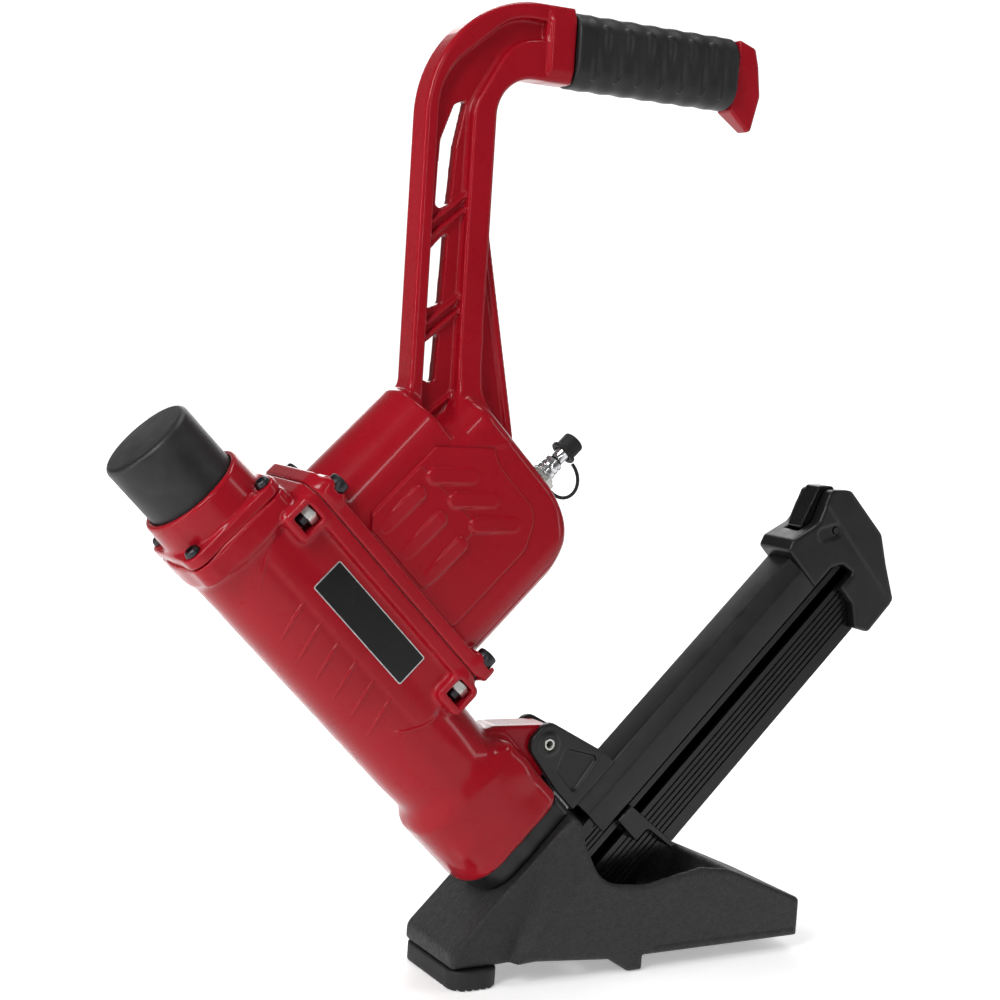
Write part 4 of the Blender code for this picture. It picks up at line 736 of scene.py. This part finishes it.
def base_field(g):
    seat = 374.8
    side = outline_distance(g.x, g.z, rounded([
        (0, 13.6, 3), (0, 25, 9), (87, 112, 5), (92, 90, 16), (106, 63, 26), (140, 59, 30),
        (186, 67, 14),
        (209, 64, 14), (273, 37, 3), (273, 10.1, 1), (142.5, 10.1, 0), (142.5, 0.2, 2),
        (131.5, 0.2, 2.5), (116.5, 10, 1), (59, 15, 2), (35.3, 13.6, 0)]))
    fade = np.clip((g.z - 16) / 60, 0, 1)
    rise = np.clip((g.x - 42 - 20 * fade) / (4 + 34 * fade), 0, 1)
    half = 34.8 + 7.4 * rise * rise * (3 - 2 * rise)
    body = swept(side, (g.side - half) * 0.9, 3.6)
    ridge = np.maximum(box_distance(g.v, g.y, -40, 48, -33.5, 33.5, 20), slab(g.u, seat, seat + 7))
    body = join(body, np.maximum(ridge, side - 0.1), 4.0)
    trough = outline_distance(g.x, g.z,
                              rounded([(103, 30, 8), (205, 30, 8), (227, 90, 0), (103, 130, 0)]))
    body = carve(body, swept(trough, g.side - 36.8, 6.0), 3.0)
    well = np.maximum(box_distance(g.v, g.y, -13, 28, -13, 13, 2), slab(g.u, 366, 520))
    body = carve(body, well, 0.8)
    rail = swept(box_distance(g.u, g.y, 377.7, 468.5, -18, 18, 2), slab(g.v, 25, 209))
    body = carve(body, rail, 1.0)
    hollow = outline_distance(g.x, g.z, [(42, -5), (114, -5), (114, 36), (92, 58), (68, 74), (42, 50)])
    body = carve(body, swept(hollow, g.side - 30.5, 4.0), 1.0)
    gap = np.maximum(outline_distance(g.x, g.z, [(107, -5), (150, -5), (150, 16), (107, 16)]),
                     g.side - 13)
    body = carve(body, gap, 0.8)
    for x in (218, 259):
        hole = np.hypot(g.x - x, g.side - 26)
        body = carve(body, np.maximum(hole - 2.5, slab(g.z, 0, 26)))
        body = carve(body, np.maximum(hole - 4.9, slab(g.z, 0, 13)))
    parting = np.maximum(np.maximum(np.abs(g.z - 16.5) - 0.6, 149 - g.x), 41.4 - g.side)
    body = carve(body, parting, 0.8)
    return np.maximum(body, seat - g.u)


def make_base():
    g = Grid((-1, -43, 0), (274, 43, 113), 1.25)
    add("base_cast", surface("base_cast", base_field(g), g), CAST, "tool", "base_casting",
        "sole_plate")
    pitch = 5.0
    g = Grid((-1, -39, -1), (36, 39, 14), 0.7)
    flat = box_distance(g.x, g.y, 0, 35, -38, 38, 12)
    foot = swept(flat, slab(g.z, 0.05, 13.1), 1.5)
    groove = np.abs(g.x % pitch - pitch / 2)
    foot = carve(foot, np.maximum(1.9 - groove, g.z - 1.6), 0.6)
    add("front_foot_rubber", surface("front_foot_rubber", foot, g), RUBBER, "tool", "front_foot")


# ---------------------------------------------------------------- strike cap, collar

def make_head():
    pocket = 23.0
    profile = [(0, 0)] + arc_profile(26.0, 29.8, 0.0, 3.8, 8) + [(29.8, 51.5), (pocket, 51.5),
                                                                 (pocket, 14), (0, 14)]
    cap = turned("strike_cap_rubber", profile, vy_u, 128)
    add("strike_cap_rubber", cap, CAP_RUBBER, "striker", "strike_cap")

    g = Grid((-203, -38, 270), (-131, 38, 342), 0.8)
    radial = np.hypot(g.v, g.y)
    outer = 34.0 + 1.1 * np.clip((g.u - 42) / 28, 0, 1)
    tube = swept(radial - outer, slab(g.u, 42, 69.7), 1.7)
    flange = swept(box_distance(g.v, g.y, -36.5, 36.5, -36.5, 36.5, 11), slab(g.u, 62, 69.7), 1.6)
    body = join(tube, flange, 3.0)
    v, y = np.abs(g.v), g.side
    hole = np.hypot(v - COLLAR_SCREW, y - COLLAR_SCREW)
    body = carve(body, np.maximum(hole - 6.4, slab(g.u, 30, 61.9)), 1.2)
    body = carve(body, hole - 2.9)
    body = carve(body, np.maximum(radial - 30.5, g.u - 63))
    body = carve(body, radial - 8.3)
    add("head_collar_cast", surface("head_collar_cast", body, g), RED, "tool", "head_collar")


# ---------------------------------------------------------------- screws, pins, nuts

def button_screw(name, node, place, seat, end, head=5.0, shank=2.5, up=-1):
    """A button-head socket screw; its head stands on seat, and its shank runs to end."""
    rise = 3.4
    profile = [(0, seat + up * 1.2), (1.9, seat + up * 1.6), (2.2, seat + up * rise)]
    for step in range(7):
        angle = math.pi / 2 * step / 6
        profile.append((2.9 + (head - 2.9) * math.sin(angle),
                        seat + up * (0.3 + (rise - 0.3) * math.cos(angle))))
    profile += [(head, seat), (shank, seat), (shank, end), (0, end)]
    add(name, turned(name, profile, place, 40), BLACK_OXIDE, "tool", node)


def make_fasteners():
    number = 0
    for v_side in (-1, 1):
        for y_side in (-1, 1):
            number += 1
            place = offset(vy_u, v_side * COLLAR_SCREW, y_side * COLLAR_SCREW)
            button_screw(f"collar_button_{number}", f"collar_screw_{number}", place, 61.7, 84)
    number = 0
    for bolt_u in BOLTS_U:
        for side in (-1, 1):
            number += 1
            place = offset(uy_v, bolt_u, side * BOLT_HALF)
            top = 65.1
            profile = [(0, top - 4.4), (3.3, top - 4.2), (3.5, top - 0.5), (3.9, top)]
            profile += [(5.6, top), (6.2, top - 0.35), (6.5, top - 1.0)]
            knurl = [(6.5, 58.5), (6.2, 57.6), (6.0, 57.2), (4.0, 57.1), (4.0, 28.8), (0, 28.8)]
            add(f"socket_screw_{number}", turned(f"socket_screw_{number}", profile + knurl, place, 40),
                BLACK_OXIDE,
                "tool", f"flange_screw_{number}")
            nut = prism(f"plated_nut_{number}", hexagon(12.0, (bolt_u, side * BOLT_HALF)), 32.6, 39.0,
                        uy_v)
            obj = add(f"plated_nut_{number}", nut, ZINC, "tool", f"flange_nut_{number}")
            soften(obj, 0.5, 2)


# ---------------------------------------------------------------- grip and inlet

def make_grip():
    start, end = 60.7, 185.9
    low, high = ARM_BOTTOM_Z - 2.2, ARM_TOP_Z - 0.9
    g = Grid((start, -17.3, low), (end, 17.3, high), 0.8)
    along = g.x - start
    lip = np.minimum(along, end - g.x)
    wave = 0.30 * np.cos(2 * np.pi * (along - 12) / 16.6) * np.clip((lip - 6) / 6, 0, 1)
    section = box_distance(g.z, g.y, low + 1.0, high - 1.0, -16.1, 16.1, 15.0)
    sleeve = swept(section - 0.3 - wave, slab(g.x, start, end), 1.6)
    for column in range(13):
        x = start + 12.5 + 8.3 * column
        height = (611.5 if column % 2 else 593.5)
        lens = np.sqrt(((g.x - x) / 3.0) ** 2 + ((g.z - height) / 9.5) ** 2
                       + ((g.side - 15.0) / 2.3) ** 2) - 1
        sleeve = join(sleeve, lens * 2.0, 1.2)
    sleeve = np.maximum(sleeve, g.side - 17.3)
    core = np.maximum(box_distance(g.z, g.y, ARM_BOTTOM_Z + 5.2, ARM_TOP_Z - 5.2, -10.3, 10.3, 5),
                      start - 2 - g.x)
    sleeve = carve(sleeve, core)
    add("grip_rubber_sleeve", surface("grip_rubber_sleeve", sleeve, g), GRIP_RUBBER, "tool",
        "grip_sleeve")

    g = Grid((186, -15, 566), (210, 15, 627), 0.7)
    side = outline_distance(g.x, g.z, rounded([
        (186.9, 626, 1), (200.5, 621.5, 3), (209.4, 591, 4), (206.8, 568, 2), (203.5, 566.7, 1.5),
        (186.9, 579, 2)]))
    taper = 5.5 + 8.4 * np.clip((g.z - 566) / 44, 0, 1)
    cap = swept(side, (g.side - taper) * 0.95, 1.8)
    hole = np.hypot(g.z - 605, g.y)
    cap = carve(cap, np.maximum(hole - 6.0, 200.5 - g.x), 0.5)
    cap = carve(cap, hole - 3.0)
    add("handle_end_cast", surface("handle_end_cast", cap, g), RED, "tool", "handle_end_cap")
    button_screw("end_cap_button", "end_cap_screw", offset(zy_x, 605, 0), 200.9, 186.3, 5.0, 2.6, 1)


def make_inlet():
    place = offset(uy_v, INLET_U, 0)
    base = 170.3
    hexa = prism("inlet_hexagon", hexagon(19.0, (INLET_U, 0)), base, base + 9.0, uy_v)
    obj = add("inlet_hexagon", hexa, ZINC, "tool", "inlet_bushing")
    soften(obj, 0.9, 3)
    collar = turned("inlet_collar",
                    [(4.2, base + 0.2), (8.6, base + 0.2), (8.6, base + 10.2), (7.8, base + 10.6),
                                     (4.2, base + 10.6)], place, 64)
    add("inlet_collar", collar, ZINC, "tool")
    foot = base + 9.3
    tip = foot + 30.0
    profile = [(2.6, foot + 1.6), (6.6, foot + 1.6), (7.0, foot + 2.0), (7.0, foot + 4.6),
               (6.6, foot + 5.0),
               (6.2, foot + 5.6), (6.5, foot + 6.2), (6.5, foot + 8.2), (5.9, foot + 8.6),
               (5.9, foot + 9.2),
               (6.5, foot + 9.6), (6.5, foot + 12), (4.7, foot + 14), (4.6, foot + 19.5),
               (5.6, foot + 21),
               (5.7, foot + 24.4), (4.7, foot + 25.6), (4.6, tip - 0.6), (4.2, tip), (2.6, tip)]
    add("plug_turned", turned("plug_turned", profile, place, 64), CHROME, "tool", "air_plug")

    skirt = foot + 20.2
    top = tip + 3.0
    cap = [(0, tip + 0.3), (6.0, tip + 0.3), (6.0, skirt), (8.6, skirt), (9.0, skirt + 0.4),
           (9.0, skirt + 2.0),
           (8.6, skirt + 2.4), (7.8, skirt + 2.8), (7.4, skirt + 3.4), (7.5, top - 1.6),
           (7.1, top - 0.6), (6.2, top),
           (3.6, top), (3.2, top - 0.6), (0, top - 0.6)]
    add("dust_cap_rubber", turned("dust_cap_rubber", cap, place, 64), RUBBER, "dust_cap", "dust_cap")
    points = []
    near_hex = 19.0 / math.sqrt(3)
    for step in range(41):
        share = step / 40
        v = base + 7.0 + (skirt + 1.2 - base - 7.0) * (1 - math.cos(math.pi * share)) / 2
        start = near_hex + (9.0 - near_hex) * share + 1.8
        points.append(uy_v(INLET_U + start + (25.0 - near_hex) * math.sin(math.pi * share), 0.0, v))
    bending("cap_strap", tube("cap_strap", points, 1.2, 12), RUBBER,
            "dust_cap_tether")


def make_springs():
    top, end, turns, steps = 22.2, 61.1, 5, 36
    path = []
    for k in range(turns * steps + 1):
        angle = 2 * math.pi * k / steps
        path.append(vy_u(14.5 * math.cos(angle), 14.5 * math.sin(angle),
                         top + (end - top) * k / (turns * steps)))
    bending("strike_coil", tube("strike_coil", path, 1.3, 12), SPRING_STEEL,
            "strike_spring")

    drum = [(2.4, -5.0), (5.4, -5.0), (5.4, 5.0), (2.4, 5.0)]
    add("spring_drum", turned("spring_drum", drum, offset(vu_y, 71.0, 441.5), 48), SPRING_STEEL,
        "pusher")
    rings = []
    for k in range(17):
        v = 34 + 36 * k / 16
        rings.append([vu_y(v, u, y) for u, y in ((447.0, -5), (447.0, 5), (447.7, 5), (447.7, -5))])
    bending("spring_strip", loft("spring_strip", rings), SPRING_STEEL,
            "pusher_spring")


# ---------------------------------------------------------------- nose block, bracket, magazine

def make_nose_block():
    g = Grid((-22, -30, 10), (136, 30, 123), 1.0)
    outer = join(box_distance(g.v, g.y, -36.5, 22, -28.5, 28.5, 22),
                 box_distance(g.v, g.y, -6, 41, -28.5, 28.5, 7), 3)
    block = swept(outer, slab(g.u, 360.3, 374.4), 1.2)
    spigot = np.maximum(np.hypot(g.v, g.y) - 19.7, slab(g.u, 340.5, 362))
    guide = swept(box_distance(g.v, g.y, -12, 24, -12, 12, 2), slab(g.u, 370, 462), 0.8)
    body = join(join(block, spigot), guide, 0.8)
    body = carve(body,
                 np.maximum(box_distance(g.v, g.y, -1.9, 1.9, -6.3, 6.3, 0.4), slab(g.u, 330, 470)))
    body = carve(body, np.maximum(box_distance(g.u, g.y, 414, 470, -7.4, 7.4, 0.4), slab(g.v, 0, 30)))
    add("nose_block_steel", surface("nose_block_steel", body, g), SATIN, "tool", "nose_block")


def make_bracket():
    g = Grid((1, -17, 106), (128, 17, 169), 0.8)
    plate = rounded([(44, 363, 3), (48.8, 327.3, 7), (55.3, 322.8, 8), (71.8, 322.8, 9), (88, 375.4, 3),
                     (88, 383.4, 1),
                     (44, 383.4, 1)])
    flat = outline_distance(g.v, g.u, plate)
    body = swept(flat, g.side - 16.3, 1.2)
    pin = np.hypot(g.v - BRACKET_PIN_V, g.u - BRACKET_PIN_U)
    recess = rounded([(54, 353, 3), (68, 347, 3), (82, 371, 3), (52, 375, 3)])
    body = carve(body, swept(outline_distance(g.v, g.u, recess), 13.8 - g.side, 0.5), 0.8)
    body = join(body, swept(pin - 8.0, g.side - 17.0, 0.6), 0.6)
    body = carve(body, np.maximum(np.maximum(g.side - 11.8, g.u - 365.4), slab(g.v, 30, 100)))
    body = carve(body, pin - 4.2)
    add("bracket_cast", surface("bracket_cast", body, g), SATIN, "tool", "magazine_bracket")
    place = offset(vu_y, BRACKET_PIN_V, BRACKET_PIN_U)
    profile = [(2.3, -16.4), (2.6, -17.0), (3.7, -17.0), (4.0, -16.6), (4.0, 16.6), (3.7, 17.0),
               (2.6, 17.0), (2.3, 16.4)]
    add("pivot_sleeve", turned("pivot_sleeve", profile, place, 48), ZINC, "tool", "bracket_pin")


def extrusion(name, outline, low, high, place, material, body, nodes, edge=0.4):
    obj = add(name, prism(name, outline, low, high, place), material, body, *nodes)
    if edge:
        soften(obj, edge, 2)
    return obj


def make_magazine():
    top, shoulder, foot = 383.7, 394.7, 412.6
    outer = rounded([(foot, -17, 0.6), (shoulder, -17, 3), (top, -12.5, 3.5), (top, 12.5, 3.5),
                     (shoulder, 17, 3),
                     (foot, 17, 0.6), (foot, 14.6, 0.4), (shoulder + 1, 14.6, 2), (top + 2.6, 10.8, 2),
                     (top + 2.6, -10.8, 2), (shoulder + 1, -14.6, 2), (foot, -14.6, 0.4)], 6)
    extrusion("cover_folded", outer, 50, 283, uy_v, SATIN, "tool", ["magazine_cover"], 0.3)
    half = 10.0
    upper = [(399, -14.1), (405, -14.1), (405, -half)]
    for u in (410.0, 413.5, 417.0):
        upper += [(u, -half), (u + 0.5, -half + 0.9), (u + 1.2, -half + 0.9), (u + 1.7, -half)]
    lower = []
    for u in (434.5, 438.5, 442.5, 446.5, 450.5, 454.5):
        lower += [(u, -half), (u + 0.5, -half + 1.0), (u + 1.3, -half + 1.0), (u + 1.8, -half)]
    lower += [(459.4, -half), (460.0, -half + 1.6), (466.7, -half + 1.6), (467.5, -half + 2.4)]
    far = [(u, -y) for u, y in reversed(upper + lower)]
    bore = [(423, -7.4), (401.6, -7.4), (401.6, 7.4), (464.9, 7.4), (464.9, -7.4), (431, -7.4)]
    extrusion("rail_extrusion", [(431, -half)] + lower + far + upper + [(423, -half)] + bore, 26, 328,
              uy_v,
              GLOSS, "tool", ["magazine_rail"], 0)

    front, rear = 63.0, 79.0
    tab = rounded([(front, 415.6, 1), (rear - 2, 415.6, 1), (rear + 4, 463.5, 1.5), (rear, 463.5, 1.5),
                   (rear - 4, 438, 3), (front, 438, 1.5)], 5)
    extrusion("pusher_tab", tab, -17.8, -10.4, vu_y, GLOSS, "pusher", ["pusher"], 0.8)
    neck = rectangle(423.4, 430.6, -13.0, -4.5)
    extrusion("pusher_neck", neck, front + 1, rear - 1, uy_v, GLOSS, "pusher", [], 0.3)
    slide = [(front, 415.0), (rear, 415.0), (rear, 464.4), (rear - 2, 464.4), (rear - 2, 435.4),
             (front + 2, 435.4), (front + 2, 446.2), (front, 446.2)]
    extrusion("pusher_slide", slide, -6.9, 6.9, vu_y, PLASTIC, "pusher", [], 0.5)


def make_end_block():
    half = 18.0
    front, rear, bottom = 283.3, 351.5, 473.5
    g = Grid((190, -19, 220), (362, 19, 328), 0.8)
    outline = rounded([
        (front, 412.6, 1), (front, 375.7, 3), (front + 8, 372.7, 4), (front + 31, 379.7, 12),
        (front + 55, 369.7, 5),
        (rear, 382.7, 6), (rear, 427, 9), (rear - 11, 447, 9), (rear - 23, bottom - 1, 4),
        (rear - 55, bottom, 4),
        (rear - 62, 462, 2), (rear - 52, 447, 2), (rear - 52, 430, 1), (rear - 37, 430, 2),
        (rear - 40, 418, 5),
        (rear - 49, 412.6, 3)])
    flat = outline_distance(g.v, g.u, outline)
    body = swept(flat, g.side - half, 2.2)
    boss, _ = pill(g.u, g.v, (394.5, 322.5), (388.5, 312.5), 4.8)
    body = carve(body, np.maximum(boss, 17.0 - g.side), 0.9)
    crease = outline_distance(g.v, g.u,
                              [(rear - 22, 366), (rear + 4, 380), (rear + 4, 480), (rear - 26, 480)])
    body = carve(body, np.maximum(np.maximum(crease, flat - 2), 17.2 - g.side), 1.6)
    body = carve(body,
                 np.maximum(box_distance(g.u, g.y, 398.7, 480, -10.3, 10.3, 0.5),
                            slab(g.v, 240, 328.3)), 0.5)
    slot = outline_distance(g.v, g.u,
                            [(front + 20, 363), (rear + 6, 363), (rear + 6, 383.7), (331.5, 398.5),
                                       (315.5, 398.5), (front + 20, 385.7)])
    body = carve(body, np.maximum(slot, g.side - 8.0), 0.8)
    body = carve(body, np.hypot(g.v - LATCH_PIN_V, g.u - LATCH_PIN_U) - 2.7)
    add("magazine_end_moulding", surface("magazine_end_moulding", body, g), PLASTIC, "tool",
        "magazine_end_cap")


def make_thin_parts():
    outline = rectangle(79.5, 253.5, -39.5, 39.5, 12.5)
    add("gasket_sheet", prism("gasket_sheet", outline, 47.45, 47.65, uy_v), GASKET, "tool",
        "seam_gasket")
    upper, lower, low_v, high_v = 128.3, 215.0, 9.2, 32.4
    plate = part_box("name_plate")
    face = plate[0][1] / MM
    rim = rectangle(upper, lower, low_v, high_v, 1.4)
    add("plate_rim", prism("plate_rim", rim, face + 0.12, face + 0.8, uv_y),
        BRIGHT_ALLOY, "tool", "name_plate")
    inner = rectangle(upper + 0.7, lower - 0.7, low_v + 0.7, high_v - 0.7, 1.0)
    add("plate_face", prism("plate_face", inner, face + 0.02, face + 0.6, uv_y),
        PLATE, "tool")


def carried_over():
    """Finishes for the CAD nodes that are shown as they are."""
    finishes = {
        "strike_plunger": STEEL, "head_valve": URETHANE, "cylinder_sleeve": BRIGHT_ALLOY,
        "piston": BRIGHT_ALLOY, "piston_ring": RUBBER, "piston_bumper": URETHANE, "driver_blade": STEEL,
        "latch_lever": GLOSS, "latch_pin": BLACK_OXIDE,
    }
    for number in range(1, 5):
        finishes[f"sole_screw_{number}"] = ZINC
    for node, material in finishes.items():
        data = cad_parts[node].data
        data.materials.clear()
        data.materials.append(material)


# ---------------------------------------------------------------- stage

def softbox(name, location, target, size, power, color=(1, 1, 1)):
    data = bpy.data.lights.new(name, "AREA")
    data.shape = "RECTANGLE"
    data.size, data.size_y = size
    data.energy = power
    data.color = color
    light = bpy.data.objects.new(name, data)
    bpy.context.scene.collection.objects.link(light)
    light.location = location
    light.rotation_euler = (Vector(target) - Vector(location)).to_track_quat("-Z", "Y").to_euler()


def make_stage():
    mesh = bpy.data.meshes.new("floor")
    reach = 6.0                # half the floor's side, in metres
    mesh.from_pydata([(-reach, -reach, 0), (reach, -reach, 0), (reach, reach, 0), (-reach, reach, 0)],
                     [], [(0, 1, 2, 3)])
    floor = bpy.data.objects.new("floor", mesh)
    bpy.context.scene.collection.objects.link(floor)
    m = Nodes("pale_floor", (0.86, 0.86, 0.86), 0.6)
    m.tint(m.spread(m.noise(3, 2), 0.3, 0.7, 0, 1), (0.89, 0.89, 0.89), (0.91, 0.91, 0.91))
    # Painted light: the floor glows, from none at the front (y -1.4 m) to strongest at the back (y 2.8
    # m), standing in for light falling on its far part
    m.set("Emission Color", (1, 1, 1, 1))
    place = m.tree.nodes.new("ShaderNodeSeparateXYZ")
    m.tree.links.new(m.coords, place.inputs["Vector"])
    m.tree.links.new(m.spread(place.outputs["Y"], -1.4, 2.8, 0.0, 1.1),
                     m.shader.inputs["Emission Strength"])
    mesh.materials.append(m.material)

    world = bpy.data.worlds.new("studio")
    world.use_nodes = True
    tree = world.node_tree
    background = tree.nodes["Background"]
    background.inputs["Color"].default_value = (1, 1, 1, 1)
    facing = tree.nodes.new("ShaderNodeVectorMath")
    facing.operation = "DOT_PRODUCT"
    facing.inputs[1].default_value = (0.49, 0.87, -0.05)
    tree.links.new(tree.nodes.new("ShaderNodeTexCoord").outputs["Generated"], facing.inputs[0])
    glow = tree.nodes.new("ShaderNodeMapRange")
    glow.interpolation_type = "SMOOTHSTEP"
    for socket, number in zip(("From Min", "From Max", "To Min", "To Max"), (0.70, 0.95, 0.14, 1.15)):
        glow.inputs[socket].default_value = number
    tree.links.new(facing.outputs["Value"], glow.inputs["Value"])
    tree.links.new(glow.outputs["Result"], background.inputs["Strength"])
    bpy.context.scene.world = world
    middle = (0, 0, 0.3)
    softbox("key", (-1.5, -0.9, 1.5), middle, (0.6, 1.0), 24)
    softbox("side", (-0.2, -2.2, 0.8), middle, (0.14, 1.6), 6)
    softbox("edge", (-1.9, -0.1, 0.7), middle, (0.12, 1.4), 10)
    softbox("fill", (1.8, -1.0, 0.8), middle, (0.3, 1.6), 5)
    softbox("top", (0.3, 0.2, 2.2), middle, (1.4, 0.4), 15)
    softbox("rim", (0.8, 1.9, 1.2), middle, (1.2, 1.2), 12)

    data = bpy.data.cameras.new("camera")
    data.lens = 65.64
    data.sensor_width = 36.0
    data.clip_end = 50
    camera = bpy.data.objects.new("camera", data)
    bpy.context.scene.collection.objects.link(camera)
    location, target = Vector((-0.61248, -1.02501, 0.41918)), Vector((-0.032591, 0.0, 0.313176))
    aim = (target - location).to_track_quat("-Z", "Y")
    roll = Quaternion((0, 0, 1), math.radians(3.64895))
    camera.matrix_world = Matrix.Translation(location) @ (aim @ roll).to_matrix().to_4x4()
    bpy.context.scene.camera = camera
    bpy.context.scene.view_settings.view_transform = "Standard"


make_castings()
make_flank_ribs()
make_base()
make_head()
make_fasteners()
make_grip()
make_inlet()
make_springs()
make_nose_block()
make_bracket()
make_magazine()
make_end_block()
make_thin_parts()
carried_over()
make_stage()
